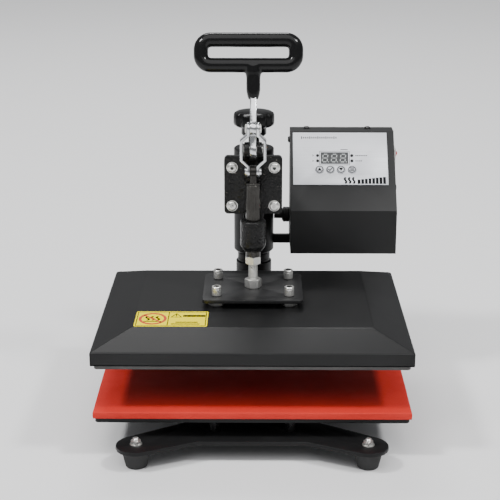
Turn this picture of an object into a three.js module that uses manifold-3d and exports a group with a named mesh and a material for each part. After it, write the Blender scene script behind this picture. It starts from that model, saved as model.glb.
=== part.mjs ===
// Swing-away heat press, 300 x 240 mm platens, standing open with its lever up.
// Millimetres, +Z up, operator at -Y. The origin is the middle of the footprint, on the floor.
import * as THREE from 'three';
import { mergeVertices } from 'three/addons/utils/BufferGeometryUtils.js';
import Module from 'manifold-3d';

const wasm = await Module();
wasm.setup();

// ---- driving dimensions ----
const FIT = 0.2;               // air between neighbouring pieces
const ROUND = 24;              // sides of an ordinary round piece
const SMALL_ROUND = 16;        // sides of a screw or a pin

const FOOT_HEIGHT = 18;
const FOOT_X = 110.2;
const FOOT_Y = 152.5;
const LEG_TIP_RADIUS = 19.3;
const BASE_THICKNESS = 4;
const BASE_TOP = FOOT_HEIGHT + BASE_THICKNESS;
const SPINE_HALF_WIDTH = 38;
const SPINE_CORNER_Y = 85;
const WEB_HALF_WIDTH = 52;
const FRONT_WEB_Y = -146.7;
const REAR_WEB_Y = 158;

const STANDOFF_HEIGHT = 16;
const STANDOFF_X = 36.5;
const STANDOFF_Y = [-120, 95];
const LOWER_PLATEN = { width: 301, depth: 241, thickness: 4.3 };
const PAD = { width: 305, depth: 245, thickness: 7.5 };
const PLATEN_Y = -18;          // middle of both platens
const PAD_TOP = BASE_TOP + STANDOFF_HEIGHT + LOWER_PLATEN.thickness + FIT + PAD.thickness;

const STROKE = 42;             // how far the heated platen comes down
const OPEN_GAP = STROKE + 0.5;
const HEAT_PLATEN = { width: 300, depth: 240, thickness: 14 };
const PLATEN_BOTTOM = PAD_TOP + OPEN_GAP;
const COVER = { width: 306, depth: 246, sheet: 1.5, skirt: 13.2, rise: 13.2, insetX: 37, insetY: 35 };
const LIP = 4.3;               // bare platen edge showing below the cover
const SKIRT_BOTTOM = PLATEN_BOTTOM + LIP;
const SKIRT_TOP = SKIRT_BOTTOM + COVER.skirt;
const PLATEAU = SKIRT_TOP + COVER.rise;
const PLATEN_GLAND = { x: 90, z: SKIRT_BOTTOM + COVER.skirt / 2 };

const CLAMP_Y = -13;           // plunger axis
const HANGER = { width: 100.6, depth: 85.6, thickness: 3.4 };
const HANGER_BOTTOM = PLATEAU + 6.2;
const HANGER_TOP = HANGER_BOTTOM + HANGER.thickness;
const HANGER_BOLT = { x: 36.5, y: 27.2, headRadius: 4.8, headHeight: 9.7, shankRadius: 3 };
const HEX_FLATS = 15;
const CENTER_BOLT_RADIUS = 4.8;

const PLUNGER_RADIUS = 7.45;
const PLUNGER_BOTTOM = 166.3;
const TONGUE_ROOT = 243.2;
const TONGUE_THICKNESS = 6.4;
const CRANK = STROKE / 2;      // lever pivot to link pin
const LINK_LENGTH = 43.5;
const LOWER_PIN_Z = 254;
const PIVOT_Z = LOWER_PIN_Z + LINK_LENGTH - CRANK;
const UPPER_PIN_Z = PIVOT_Z + CRANK;
const EYE_RADIUS = 6.5;
const PIN_RADIUS = 3;
const STRAP = { thickness: 2.6, narrow: 3.5, bulge: 10.5, flare: 6.4 };

const FLANGE = { width: 58.6, bottom: 207, top: 267, front: -1, thickness: 6, corner: 4 };
const FLANGE_SCREW = { x: 21.3, z: 19.9, headRadius: 5.6, headHeight: 3.5, shankRadius: 3.1 };
const BARREL = { radius: 12.9, bottom: 172, cone: 5.5, noseRadius: 9, top: 204, bore: 7.6 };
const EAR = { inner: 3.7, outer: 8.7, lobe: 7.5 };

const LEVER_LEAN = THREE.MathUtils.degToRad(18);
const LEVER_THICKNESS = 6.4;
const GRIP = { tube: 7.3, shank: 7, bottom: 49.6, halfLength: 54.3, offset: -4.5 };
const [LOW_RAIL, HIGH_RAIL] = [83.8, 109.1];   // the loop's rails, up the lever from its pivot

const POST_Y = 132;
const POST_RADIUS = 19.8;
const POST_TOP = 116;
const SHAFT_RADIUS = 12.8;
const THRUST_COLLAR = { radius: 18, height: 10.9 };
const SLEEVE_BOTTOM = POST_TOP + THRUST_COLLAR.height + 2 * FIT;
const SLEEVE = { radius: 22.1, bore: 15.2, bottom: SLEEVE_BOTTOM, top: 246.3, chamfer: 3 };
const BUSH_LENGTH = 30;
const ARM = { halfWidth: 11, pad: 8 };
const KNOB = { radius: 23, hub: 13.8, hubBottom: 259.5, bottom: 270, rim: 273.8, shoulder: 285, top: 288 };

const BOX = {
  left: 39.5, right: 152.4, front: 57, back: 144, bottom: 146.6, fold: 194, ridge: 122, top: 266.5,
};
const SHEET = 1.5;
const SLOPE_ANGLE = Math.atan2(BOX.top - BOX.fold, BOX.ridge - BOX.front);
const PANEL = { left: 42.5, right: 144.5, low: 31, high: 95, thickness: 0.8 };
const WINDOW = { left: 72.8, right: 101.7, low: 56.7, high: 70.2 };
const BUTTON = { radius: 4.4, along: 49.3, x: [70.9, 82.5, 94, 105.9], proud: 1 };
const ROCKER = { y: 120, z: 238, pivotX: BOX.right - 4.3, tilt: THREE.MathUtils.degToRad(8) };
const CORD_INLET = { x: 120, z: 165 };
const MOUNT_ROD = { radius: 4.5, nutRadius: 8.5, nutLeft: 32.5, z: 169.4 };

// ---- paints and metals ----
function finish(color, roughness, metalness) {
  return () => new THREE.MeshStandardMaterial({ color, roughness, metalness });
}
const blackPaint = finish(0x1b1b1c, 0.45, 0.2);
const wrinklePaint = finish(0x1a1a1a, 0.8, 0.1);
const chromePlate = finish(0xd4d6d8, 0.15, 1);
const zincPlate = finish(0xa9abad, 0.35, 1);
const bareSteel = finish(0x8d8b86, 0.4, 1);
const aluminium = finish(0xc6c8ca, 0.35, 1);
const rubber = finish(0x1c1c1c, 0.85, 0);
const siliconeRed = finish(0xc2452f, 0.75, 0);
const vinyl = finish(0x141414, 0.3, 0);
const blackPlastic = finish(0x121212, 0.4, 0);
const redPlastic = finish(0x9c1020, 0.25, 0);
const palePlastic = finish(0xd8d8d6, 0.35, 0);
const bronze = finish(0xa97c3f, 0.4, 1);
const boardGreen = finish(0x1f5a35, 0.6, 0);
const mineralWool = finish(0xc9b98f, 0.95, 0);

// ---- shape helpers ----
// A closed three.js geometry as a solid: corners merged, flat slivers dropped, faces turned outwards.
function solid(geometry) {
  const shell = geometry.clone();
  shell.deleteAttribute('normal');
  shell.deleteAttribute('uv');
  const merged = mergeVertices(shell, 1e-4);
  const corners = merged.attributes.position.array;
  const triangles = [];
  let volume = 0;
  for (let i = 0; i < merged.index.count; i += 3) {
    const [a, b, c] = [merged.index.getX(i), merged.index.getX(i + 1), merged.index.getX(i + 2)];
    if (a === b || b === c || c === a) continue;
    triangles.push(a, b, c);
    const [p, q, r] = [a, b, c].map((n) => new THREE.Vector3().fromArray(corners, 3 * n));
    volume += p.dot(q.cross(r));
  }
  if (volume < 0) triangles.reverse();
  const mesh = new wasm.Mesh({
    numProp: 3,
    vertProperties: new Float32Array(corners),
    triVerts: new Uint32Array(triangles),
  });
  return new wasm.Manifold(mesh);
}

function toGeometry(manifold) {
  const mesh = manifold.getMesh();
  const geometry = new THREE.BufferGeometry();
  geometry.setAttribute('position', new THREE.BufferAttribute(mesh.vertProperties, 3));
  geometry.setIndex(new THREE.BufferAttribute(mesh.triVerts, 1));
  geometry.computeVertexNormals();
  return geometry;
}

function block(x0, x1, y0, y1, z0, z1) {
  const geometry = new THREE.BoxGeometry(x1 - x0, y1 - y0, z1 - z0);
  geometry.translate((x0 + x1) / 2, (y0 + y1) / 2, (z0 + z1) / 2);
  return solid(geometry);
}

// A round piece from its profile of [radius, height] points, turned about Z.
function turned(profile, sides = ROUND) {
  const points = profile.map(([radius, height]) => new THREE.Vector2(radius, height));
  const geometry = new THREE.LatheGeometry(points, sides);
  geometry.rotateX(Math.PI / 2);
  return solid(geometry);
}

function rod(radius, z0, z1, sides = SMALL_ROUND) {
  return turned([[0, z0], [radius, z0], [radius, z1], [0, z1]], sides);
}

function ring(outer, inner, z0, z1, sides = ROUND) {
  return turned([[inner, z0], [outer, z0], [outer, z1], [inner, z1], [inner, z0]], sides);
}

function hexPrism(flats, z0, z1) {
  return turned([[0, z0], [flats / Math.sqrt(3), z0], [flats / Math.sqrt(3), z1], [0, z1]], 6);
}

function outline(points) {
  return new THREE.Shape(points.map(([x, y]) => new THREE.Vector2(x, y)));
}

function extruded(shape, depth, curveSegments = 6) {
  return new THREE.ExtrudeGeometry(shape, { depth, bevelEnabled: false, curveSegments });
}

// A shape drawn in (y, z), reaching from x0 to x1.
function acrossX(shape, x0, x1, curveSegments = 6) {
  const geometry = extruded(shape, x1 - x0, curveSegments);
  const axes = [new THREE.Vector3(0, 1, 0), new THREE.Vector3(0, 0, 1), new THREE.Vector3(1, 0, 0)];
  geometry.applyMatrix4(new THREE.Matrix4().makeBasis(...axes));
  geometry.translate(x0, 0, 0);
  return solid(geometry);
}

// A shape drawn in (x, z), reaching from y0 back to y1.
function acrossY(shape, y0, y1, curveSegments = 6) {
  const geometry = extruded(shape, y1 - y0, curveSegments);
  geometry.rotateX(Math.PI / 2);
  geometry.translate(0, y1, 0);
  return solid(geometry);
}

function acrossZ(shape, z0, z1, curveSegments = 6) {
  const geometry = extruded(shape, z1 - z0, curveSegments);
  geometry.translate(0, 0, z0);
  return solid(geometry);
}

function roundedRectangle(width, height, radius) {
  const [w, h] = [width / 2, height / 2];
  const shape = new THREE.Shape();
  shape.absarc(w - radius, h - radius, radius, 0, Math.PI / 2);
  shape.absarc(radius - w, h - radius, radius, Math.PI / 2, Math.PI);
  shape.absarc(radius - w, radius - h, radius, Math.PI, 1.5 * Math.PI);
  shape.absarc(w - radius, radius - h, radius, 1.5 * Math.PI, 2 * Math.PI);
  return shape;
}

function disc(y, z, radius) {
  return new THREE.Shape().absarc(y, z, radius, 0, 2 * Math.PI);
}

const quarterTurn = { x: [0, 90, 0], y: [90, 0, 0] };

// A solid turned about Z, laid down so that its axis runs along +X or -Y.
function laidAlong(axis, manifold) {
  return manifold.rotate(quarterTurn[axis]);
}

const press = new THREE.Group();

function add(group, name, manifold, material, position = [0, 0, 0]) {
  const mesh = new THREE.Mesh(toGeometry(manifold), material());
  mesh.name = name;
  mesh.position.set(...position);
  group.add(mesh);
  return mesh;
}

const corners = [
  ['front_left', -1, -1],
  ['front_right', 1, -1],
  ['rear_left', -1, 1],
  ['rear_right', 1, 1],
];

// ---- stand: base plate, feet, standoffs, lower platen, pad ----
function legEdge(sideX, sideY, webY) {
  const centre = new THREE.Vector2(FOOT_X, FOOT_Y);
  const points = [new THREE.Vector2(SPINE_HALF_WIDTH, SPINE_CORNER_Y)];
  const steps = 10;
  const start = THREE.MathUtils.degToRad(-57.7);
  const end = THREE.MathUtils.degToRad(113.2);
  for (let i = 0; i <= steps; i += 1) {
    const angle = start + ((end - start) * i) / steps;
    const spoke = new THREE.Vector2(Math.cos(angle), Math.sin(angle));
    points.push(spoke.multiplyScalar(LEG_TIP_RADIUS).add(centre));
  }
  points.push(new THREE.Vector2(WEB_HALF_WIDTH, webY));
  return points.map((p) => new THREE.Vector2(p.x * sideX, p.y * sideY));
}

function basePlate() {
  const edge = [
    ...legEdge(1, 1, REAR_WEB_Y),
    ...legEdge(-1, 1, REAR_WEB_Y).reverse(),
    ...legEdge(-1, -1, -FRONT_WEB_Y),
    ...legEdge(1, -1, -FRONT_WEB_Y).reverse(),
  ];
  let plate = acrossZ(new THREE.Shape(edge), 0, BASE_THICKNESS);
  const hole = rod(3.3, -1, BASE_THICKNESS + 1);
  for (const [, x, y] of corners) {
    plate = plate.subtract(hole.translate([x * FOOT_X, y * FOOT_Y, 0]));
  }
  for (const y of STANDOFF_Y) {
    for (const x of [-STANDOFF_X, STANDOFF_X]) plate = plate.subtract(hole.translate([x, y, 0]));
  }
  return plate;
}

function foot() {
  return turned([
    [0, 0], [9.5, 0], [10.6, 1.4], [14.2, FOOT_HEIGHT - FIT], [3.2, FOOT_HEIGHT - FIT], [3.2, 6], [0, 6],
  ]);
}

function footScrew() {
  return turned([
    [0, -14], [PIN_RADIUS, -14], [PIN_RADIUS, FIT], [5, FIT], [4.3, 2.4], [2.4, 3.6], [0, 4],
  ], SMALL_ROUND);
}

function standoff() {
  const post = rod(6, FIT, STANDOFF_HEIGHT - FIT);
  return post.add(rod(PIN_RADIUS, -BASE_THICKNESS - 3, 1));
}

function buildStand() {
  const stand = new THREE.Group();
  press.add(stand);
  add(stand, 'base_plate', basePlate(), blackPaint, [0, 0, FOOT_HEIGHT]);
  for (const [name, x, y] of corners) {
    add(stand, `foot_${name}`, foot(), rubber, [x * FOOT_X, y * FOOT_Y, 0]);
    add(stand, `foot_screw_${name}`, footScrew(), zincPlate, [x * FOOT_X, y * FOOT_Y, BASE_TOP]);
    const standoffY = STANDOFF_Y[y < 0 ? 0 : 1];
    add(stand, `standoff_${name}`, standoff(), zincPlate, [x * STANDOFF_X, standoffY, BASE_TOP]);
  }
  const { width, depth, thickness } = LOWER_PLATEN;
  const plate = acrossZ(roundedRectangle(width, depth, 4), 0, thickness);
  add(stand, 'lower_platen', plate, bareSteel, [0, PLATEN_Y, BASE_TOP + STANDOFF_HEIGHT]);
  const pad = acrossZ(roundedRectangle(PAD.width, PAD.depth, 3), 0, PAD.thickness);
  add(stand, 'foam_pad', pad, siliconeRed, [0, PLATEN_Y, PAD_TOP - PAD.thickness]);
}

// ---- post that the head swings on ----
function shaft() {
  const bar = rod(SHAFT_RADIUS, BASE_TOP + 2 * FIT, SLEEVE.top - FIT, ROUND);
  return bar.subtract(rod(6.3, SLEEVE.top - 22, SLEEVE.top + 1));
}

// The head rests on the wide collar of this bush and turns round its neck.
function flangedBush() {
  const inner = SHAFT_RADIUS + FIT;
  const [bottom, top] = [POST_TOP + FIT, POST_TOP + FIT + THRUST_COLLAR.height];
  const neck = SLEEVE.bore - FIT;
  return turned([
    [inner, bottom], [THRUST_COLLAR.radius, bottom], [THRUST_COLLAR.radius, top], [neck, top],
    [neck, top + BUSH_LENGTH], [inner, top + BUSH_LENGTH], [inner, bottom],
  ]);
}

function buildPost() {
  const post = new THREE.Group();
  post.position.set(0, POST_Y, 0);
  press.add(post);
  add(post, 'post_tube', ring(POST_RADIUS, SHAFT_RADIUS + FIT, BASE_TOP + FIT, POST_TOP), blackPaint);
  add(post, 'pivot_shaft', shaft(), bareSteel);
  add(post, 'flanged_bush', flangedBush(), bronze);
  const knob = turned([
    [0, SLEEVE.top - 20], [6, SLEEVE.top - 20], [6, KNOB.hubBottom], [KNOB.hub - 2.5, KNOB.hubBottom],
    [KNOB.hub, KNOB.hubBottom + 2.5], [KNOB.hub, KNOB.bottom], [20.2, KNOB.bottom], [20.2, KNOB.rim],
    [KNOB.radius, KNOB.rim], [KNOB.radius, KNOB.shoulder], [16, KNOB.top - 0.8], [0, KNOB.top],
  ]);
  add(post, 'lock_knob', knob, blackPlastic);
}

// ---- swinging head: sleeve, arm, clamp casting ----
function sleeve() {
  const { radius, bore, bottom, top, chamfer } = SLEEVE;
  return turned([
    [bore, bottom], [radius - chamfer, bottom], [radius, bottom + chamfer],
    [radius, top - 1], [radius - 1, top], [bore, top], [bore, bottom],
  ]);
}

function swingArm() {
  const padFront = FLANGE.front + FLANGE.thickness + FIT;
  const padBack = padFront + ARM.pad;
  const padHeight = FLANGE.top - FLANGE.bottom - 6;
  const pad = acrossY(roundedRectangle(FLANGE.width - 4, padHeight, FLANGE.corner), padFront, padBack)
    .translate([0, 0, (FLANGE.bottom + FLANGE.top) / 2]);
  const web = outline([
    [padBack - 1, FLANGE.bottom + 5], [POST_Y - 12, 160], [POST_Y - 12, 240], [padBack - 1, FLANGE.top - 5],
  ]);
  const post = rod(SLEEVE.radius + FIT, 100, 300, ROUND).translate([0, POST_Y, 0]);
  let arm = pad.add(acrossX(web, -ARM.halfWidth, ARM.halfWidth)).subtract(post);
  for (const [x, z] of flangeScrewPlaces()) {
    const hole = laidAlong('y', rod(3.3, -padBack - 1, 1 - padFront));
    arm = arm.subtract(hole.translate([x, 0, z]));
  }
  return arm;
}

function flangeScrewPlaces() {
  const middle = (FLANGE.bottom + FLANGE.top) / 2 - 1.6;
  return corners.map(([, x, z]) => [x * FLANGE_SCREW.x, middle + z * FLANGE_SCREW.z]);
}

// The casting: a flange plate, a guide barrel below it and two ears that hold the lever's pivot.
function clampBody() {
  const { front, thickness, bottom, top } = FLANGE;
  const back = front + thickness;
  const flange = acrossY(roundedRectangle(FLANGE.width, top - bottom, FLANGE.corner), front, back);
  const rib = block(-9, 9, CLAMP_Y + 9, back, BARREL.bottom + 6, bottom + 2);
  const barrel = turned([
    [0, BARREL.bottom], [BARREL.noseRadius, BARREL.bottom], [BARREL.radius, BARREL.bottom + BARREL.cone],
    [BARREL.radius, BARREL.top - 1], [BARREL.radius - 1, BARREL.top], [0, BARREL.top],
  ]);
  const earShape = outline([
    [CLAMP_Y, PIVOT_Z - EAR.lobe], [CLAMP_Y + 6.5, PIVOT_Z - EAR.lobe - 1], [front, PIVOT_Z - 17],
    [back, PIVOT_Z - 17], [back, top], [CLAMP_Y, PIVOT_Z + EAR.lobe],
  ]);
  const bore = rod(BARREL.bore, BARREL.bottom - 1, BARREL.top + 1, ROUND).translate([0, CLAMP_Y, 0]);
  let body = flange.translate([0, 0, (bottom + top) / 2]).add(rib);
  body = body.add(barrel.translate([0, CLAMP_Y, 0])).subtract(bore);
  for (const side of [-1, 1]) {
    const [x0, x1] = side < 0 ? [-EAR.outer, -EAR.inner] : [EAR.inner, EAR.outer];
    const ear = acrossX(earShape, x0, x1).add(acrossX(disc(CLAMP_Y, PIVOT_Z, EAR.lobe), x0, x1, 16));
    body = body.add(ear);
  }
  body = body.subtract(laidAlong('x', rod(PIN_RADIUS + FIT, -20, 20)).translate([0, CLAMP_Y, PIVOT_Z]));
  for (const [x, z] of flangeScrewPlaces()) {
    body = body.subtract(laidAlong('y', rod(3.3, -back - 1, 1 - front)).translate([x, 0, z]));
  }
  return body;
}

function flangeScrew() {
  const { headRadius, headHeight, shankRadius } = FLANGE_SCREW;
  const screw = turned([
    [0, -12], [shankRadius, -12], [shankRadius, FIT], [headRadius, FIT],
    [headRadius, headHeight - 1.4], [headRadius - 1.8, headHeight], [0, headHeight],
  ], SMALL_ROUND);
  return laidAlong('y', screw);
}

// A pin along X with a round head at each end.
function headedPin(reach, headRadius, headInner) {
  return laidAlong('x', turned([
    [0, -reach], [headRadius, -reach], [headRadius, -headInner], [PIN_RADIUS, -headInner],
    [PIN_RADIUS, headInner], [headRadius, headInner], [headRadius, reach], [0, reach],
  ], SMALL_ROUND));
}

function buildHead() {
  const head = new THREE.Group();
  press.add(head);
  add(head, 'swing_sleeve', sleeve(), blackPaint, [0, POST_Y, 0]);
  const bush = ring(SLEEVE.bore - FIT, SHAFT_RADIUS + 0.15, 0, BUSH_LENGTH);
  add(head, 'upper_bush', bush, bronze, [0, POST_Y, SLEEVE.top - BUSH_LENGTH - FIT]);
  add(head, 'swing_arm', swingArm(), blackPaint);
  add(head, 'clamp_body', clampBody(), wrinklePaint);
  flangeScrewPlaces().forEach(([x, z], i) => {
    add(head, `clamp_screw_${i + 1}`, flangeScrew(), zincPlate, [x, FLANGE.front, z]);
  });
  add(head, 'lever_pivot_pin', headedPin(10.2, 5, EAR.outer + FIT), zincPlate, [0, CLAMP_Y, PIVOT_Z]);
}

// ---- lever: flat bar with a dipped loop grip ----
function leverBar() {
  const bar = outline([
    [-8.5, 0], [8.5, 0], [8, 40], [4.5, 47], [4.5, 70], [-4.5, 70], [-4.5, 47], [-8, 40],
  ]);
  const half = LEVER_THICKNESS / 2;
  const crankPin = [-CRANK * Math.sin(LEVER_LEAN), CRANK * Math.cos(LEVER_LEAN)];
  let lever = acrossX(bar, -half, half);
  lever = lever.add(acrossX(disc(0, 0, 9), -half, half, 16));
  lever = lever.add(acrossX(disc(crankPin[0], crankPin[1], 7), -half, half, 16));
  for (const [y, z] of [[0, 0], crankPin]) {
    lever = lever.subtract(laidAlong('x', rod(PIN_RADIUS + FIT, -10, 10)).translate([0, y, z]));
  }
  return lever;
}

// Half of the loop: out along the low rail, round the end and back along the high rail.
function halfLoop(side) {
  const bend = (HIGH_RAIL - LOW_RAIL) / 2;
  const middle = (HIGH_RAIL + LOW_RAIL) / 2;
  const straight = GRIP.halfLength - GRIP.tube - bend;
  const points = [new THREE.Vector3(-side, 0, LOW_RAIL)];
  const turns = 8;
  for (let i = 0; i <= turns; i += 1) {
    const angle = Math.PI * (i / turns - 0.5);
    const x = side * (straight + bend * Math.cos(angle));
    points.push(new THREE.Vector3(x, 0, middle + bend * Math.sin(angle)));
  }
  points.push(new THREE.Vector3(-side, 0, HIGH_RAIL));
  const path = new THREE.CatmullRomCurve3(points, false, 'centripetal');
  const section = new THREE.Shape().absarc(0, 0, GRIP.tube, 0, 2 * Math.PI);
  return solid(new THREE.ExtrudeGeometry(section, { steps: 18, extrudePath: path, curveSegments: 7 }));
}

function leverGrip() {
  const loop = halfLoop(1).add(halfLoop(-1)).translate([GRIP.offset, 0, 0]);
  const shank = turned([
    [0, GRIP.bottom], [GRIP.shank - 1.8, GRIP.bottom], [GRIP.shank, GRIP.bottom + 4],
    [GRIP.shank, LOW_RAIL], [0, LOW_RAIL],
  ]);
  const slot = LEVER_THICKNESS / 2 + FIT;
  const socket = block(-slot, slot, -4.9, 4.9, GRIP.bottom - 1, 70.4);
  return loop.add(shank).subtract(socket);
}

function buildLever() {
  const lever = new THREE.Group();
  lever.position.set(0, CLAMP_Y, PIVOT_Z);
  lever.rotation.x = -LEVER_LEAN;
  press.add(lever);
  add(lever, 'lever_bar', leverBar(), chromePlate);
  add(lever, 'lever_grip', leverGrip(), vinyl);
  const pin = headedPin(8.2, 4.6, STRAP.narrow + STRAP.thickness + FIT);
  add(press, 'link_pin_upper', pin, zincPlate, [0, CLAMP_Y, UPPER_PIN_Z]);
}

// ---- links: two straps that bulge out round the ears ----
function link(side) {
  const { thickness, narrow, bulge, flare } = STRAP;
  const slant = Math.hypot(bulge - narrow, flare);
  const shift = thickness * ((bulge - narrow) / slant / (1 + flare / slant));
  const [top, bottom] = [UPPER_PIN_Z + EYE_RADIUS, LOWER_PIN_Z - EYE_RADIUS];
  const bends = [
    [narrow, top, 0],
    [narrow, UPPER_PIN_Z - EYE_RADIUS, shift],
    [bulge, UPPER_PIN_Z - EYE_RADIUS - flare, shift],
    [bulge, LOWER_PIN_Z + EYE_RADIUS + flare, -shift],
    [narrow, LOWER_PIN_Z + EYE_RADIUS, -shift],
    [narrow, bottom, 0],
  ];
  const inner = bends.map(([x, z]) => [x, z]);
  const outer = bends.map(([x, z, lift]) => [x + thickness, z + lift]).reverse();
  const strip = acrossY(outline([...inner, ...outer]), -EYE_RADIUS, EYE_RADIUS);
  const face = block(narrow - 1, bulge + 4, -6, 6, LOWER_PIN_Z, UPPER_PIN_Z)
    .add(acrossX(disc(0, UPPER_PIN_Z, EYE_RADIUS), narrow - 1, bulge + 4, 12))
    .add(acrossX(disc(0, LOWER_PIN_Z, EYE_RADIUS), narrow - 1, bulge + 4, 12));
  const rivet = laidAlong('x', rod(4.6, narrow + thickness - 0.4, 8.2)).translate([0, 0, LOWER_PIN_Z]);
  const pinHole = laidAlong('x', rod(PIN_RADIUS + FIT, 0, 20)).translate([0, 0, UPPER_PIN_Z]);
  const strap = strip.intersect(face).add(rivet).subtract(pinHole);
  return side > 0 ? strap : strap.mirror([1, 0, 0]);
}

function buildLinks() {
  add(press, 'link_left', link(-1), chromePlate, [0, CLAMP_Y, 0]);
  add(press, 'link_right', link(1), chromePlate, [0, CLAMP_Y, 0]);
}

// ---- plunger and everything that it carries down ----
function plunger() {
  const bar = turned([
    [0, PLUNGER_BOTTOM], [PLUNGER_RADIUS - 0.6, PLUNGER_BOTTOM], [PLUNGER_RADIUS, PLUNGER_BOTTOM + 0.6],
    [PLUNGER_RADIUS, TONGUE_ROOT - 1], [PLUNGER_RADIUS - 1, TONGUE_ROOT], [0, TONGUE_ROOT],
  ]);
  const half = TONGUE_THICKNESS / 2;
  const tongue = acrossX(disc(0, LOWER_PIN_Z, EYE_RADIUS), -half, half, 12)
    .add(block(-half, half, -5.5, 5.5, TONGUE_ROOT - 2, LOWER_PIN_Z));
  const pinHole = laidAlong('x', rod(PIN_RADIUS + FIT, -10, 10)).translate([0, 0, LOWER_PIN_Z]);
  return bar.add(tongue).subtract(pinHole).subtract(rod(5, PLUNGER_BOTTOM - 1, PLUNGER_BOTTOM + 34));
}

function centerBolt() {
  const shank = rod(CENTER_BOLT_RADIUS, HANGER_BOTTOM - 1, PLUNGER_BOTTOM + 33);
  return shank.add(hexPrism(HEX_FLATS, PLATEAU + FIT, HANGER_BOTTOM - FIT));
}

function nut(height) {
  return hexPrism(HEX_FLATS, 0, height).subtract(rod(CENTER_BOLT_RADIUS + FIT, -1, height + 1));
}

function hangerBolt() {
  const { headRadius, headHeight, shankRadius } = HANGER_BOLT;
  const shank = rod(shankRadius, SKIRT_TOP - 11, HANGER_TOP + 1);
  const head = rod(headRadius, HANGER_TOP + FIT, HANGER_TOP + headHeight);
  return shank.add(head).add(hexPrism(HEX_FLATS, PLATEAU + FIT, HANGER_BOTTOM - FIT));
}

function drilled(manifold, radius, z0, z1) {
  let result = manifold;
  for (const [, x, y] of corners) {
    const hole = rod(radius, z0, z1);
    result = result.subtract(hole.translate([x * HANGER_BOLT.x, CLAMP_Y + y * HANGER_BOLT.y, 0]));
  }
  return result;
}

// A four-sided block whose top is drawn in on every side.
function hippedBlock(width, depth, insetX, insetY, z0, z1) {
  const geometry = new THREE.BoxGeometry(width, depth, z1 - z0);
  const points = geometry.attributes.position;
  for (let i = 0; i < points.count; i += 1) {
    if (points.getZ(i) < 0) continue;
    points.setX(i, points.getX(i) * (1 - (2 * insetX) / width));
    points.setY(i, points.getY(i) * (1 - (2 * insetY) / depth));
  }
  geometry.translate(0, PLATEN_Y, (z0 + z1) / 2);
  return solid(geometry);
}

function platenCover() {
  const { width, depth, sheet, insetX, insetY } = COVER;
  const [w, d] = [width / 2, depth / 2];
  const skirt = block(-w, w, PLATEN_Y - d, PLATEN_Y + d, SKIRT_BOTTOM, SKIRT_TOP);
  const roof = hippedBlock(width, depth, insetX, insetY, SKIRT_TOP, PLATEAU);
  const [wIn, dIn, eaves] = [w - sheet, d - sheet, SKIRT_TOP - 0.4];
  const inside = block(-wIn, wIn, PLATEN_Y - dIn, PLATEN_Y + dIn, SKIRT_BOTTOM - 1, eaves);
  const loft = hippedBlock(2 * wIn, 2 * dIn, insetX, insetY, eaves, PLATEAU - sheet);
  const shell = skirt.add(roof).subtract(inside.add(loft));
  const glandHole = laidAlong('y', rod(4.6, -PLATEN_Y - d - 5, -PLATEN_Y - d + 5));
  const holed = drilled(shell, 3.3, SKIRT_TOP, PLATEAU + 1);
  return holed.subtract(glandHole.translate([PLATEN_GLAND.x, 0, PLATEN_GLAND.z]));
}

function heatPlaten() {
  const { width, depth, thickness } = HEAT_PLATEN;
  const plate = acrossZ(roundedRectangle(width, depth, 4), PLATEN_BOTTOM, PLATEN_BOTTOM + thickness);
  return drilled(plate.translate([0, PLATEN_Y, 0]), 3.3, SKIRT_TOP - 12, SKIRT_TOP);
}

function insulation() {
  const bottom = PLATEN_BOTTOM + HEAT_PLATEN.thickness + 0.5;
  return drilled(hippedBlock(290, 230, 44, 42, bottom, PLATEAU - 4), 3.6, bottom - 1, PLATEAU);
}

function platenGland() {
  const back = PLATEN_Y + COVER.depth / 2;
  const gland = turned([
    [0, 1.8], [4.4, 1.8], [4.4, -FIT], [6, -FIT], [6, -5],
    [5, -6], [4.2, -12], [2.2, -12], [2.2, 0.6], [0, 0.6],
  ], SMALL_ROUND);
  return laidAlong('y', gland).translate([PLATEN_GLAND.x, back, PLATEN_GLAND.z]);
}

function buildPlunger() {
  add(press, 'plunger', plunger(), bareSteel, [0, CLAMP_Y, 0]);
  add(press, 'center_bolt', centerBolt(), zincPlate, [0, CLAMP_Y, 0]);
  add(press, 'lock_nut_lower', nut(8.8), zincPlate, [0, CLAMP_Y, HANGER_TOP + FIT]);
  add(press, 'lock_nut_upper', nut(7.7), zincPlate, [0, CLAMP_Y, PLUNGER_BOTTOM - 7.7 - FIT]);
  const plate = acrossZ(roundedRectangle(HANGER.width, HANGER.depth, 5), HANGER_BOTTOM, HANGER_TOP);
  const hanger = drilled(plate.translate([0, CLAMP_Y, 0]), 3.3, HANGER_BOTTOM - 1, HANGER_TOP + 1);
  const boltHole = rod(CENTER_BOLT_RADIUS + FIT, HANGER_BOTTOM - 1, HANGER_TOP + 1);
  add(press, 'hanger_plate', hanger.subtract(boltHole.translate([0, CLAMP_Y, 0])), blackPaint);
  for (const [name, x, y] of corners) {
    const place = [x * HANGER_BOLT.x, CLAMP_Y + y * HANGER_BOLT.y, 0];
    add(press, `hanger_bolt_${name}`, hangerBolt(), zincPlate, place);
  }
  add(press, 'platen_cover', platenCover(), blackPaint);
  add(press, 'heat_platen', heatPlaten(), aluminium);
  add(press, 'insulation', insulation(), mineralWool);
  add(press, 'platen_gland', platenGland(), blackPlastic);
}

// ---- control box ----
// Shapes on the sloping face are drawn flat: x across, y up the slope, z out of it.
const slope = new THREE.Matrix4()
  .makeRotationX(SLOPE_ANGLE)
  .setPosition(0, BOX.front, BOX.fold);

function onSlope(manifold) {
  return manifold.transform(slope.elements);
}

function boxProfile(inset) {
  const rise = inset * Math.tan(SLOPE_ANGLE / 2);
  const run = inset * Math.tan((Math.PI / 2 - SLOPE_ANGLE) / 2);
  return [
    [BOX.front + inset, BOX.fold - run],
    [BOX.ridge + rise, BOX.top - inset],
  ];
}

function buttonPlaces() {
  return BUTTON.x.map((x) => [x, BUTTON.along]);
}

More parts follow.
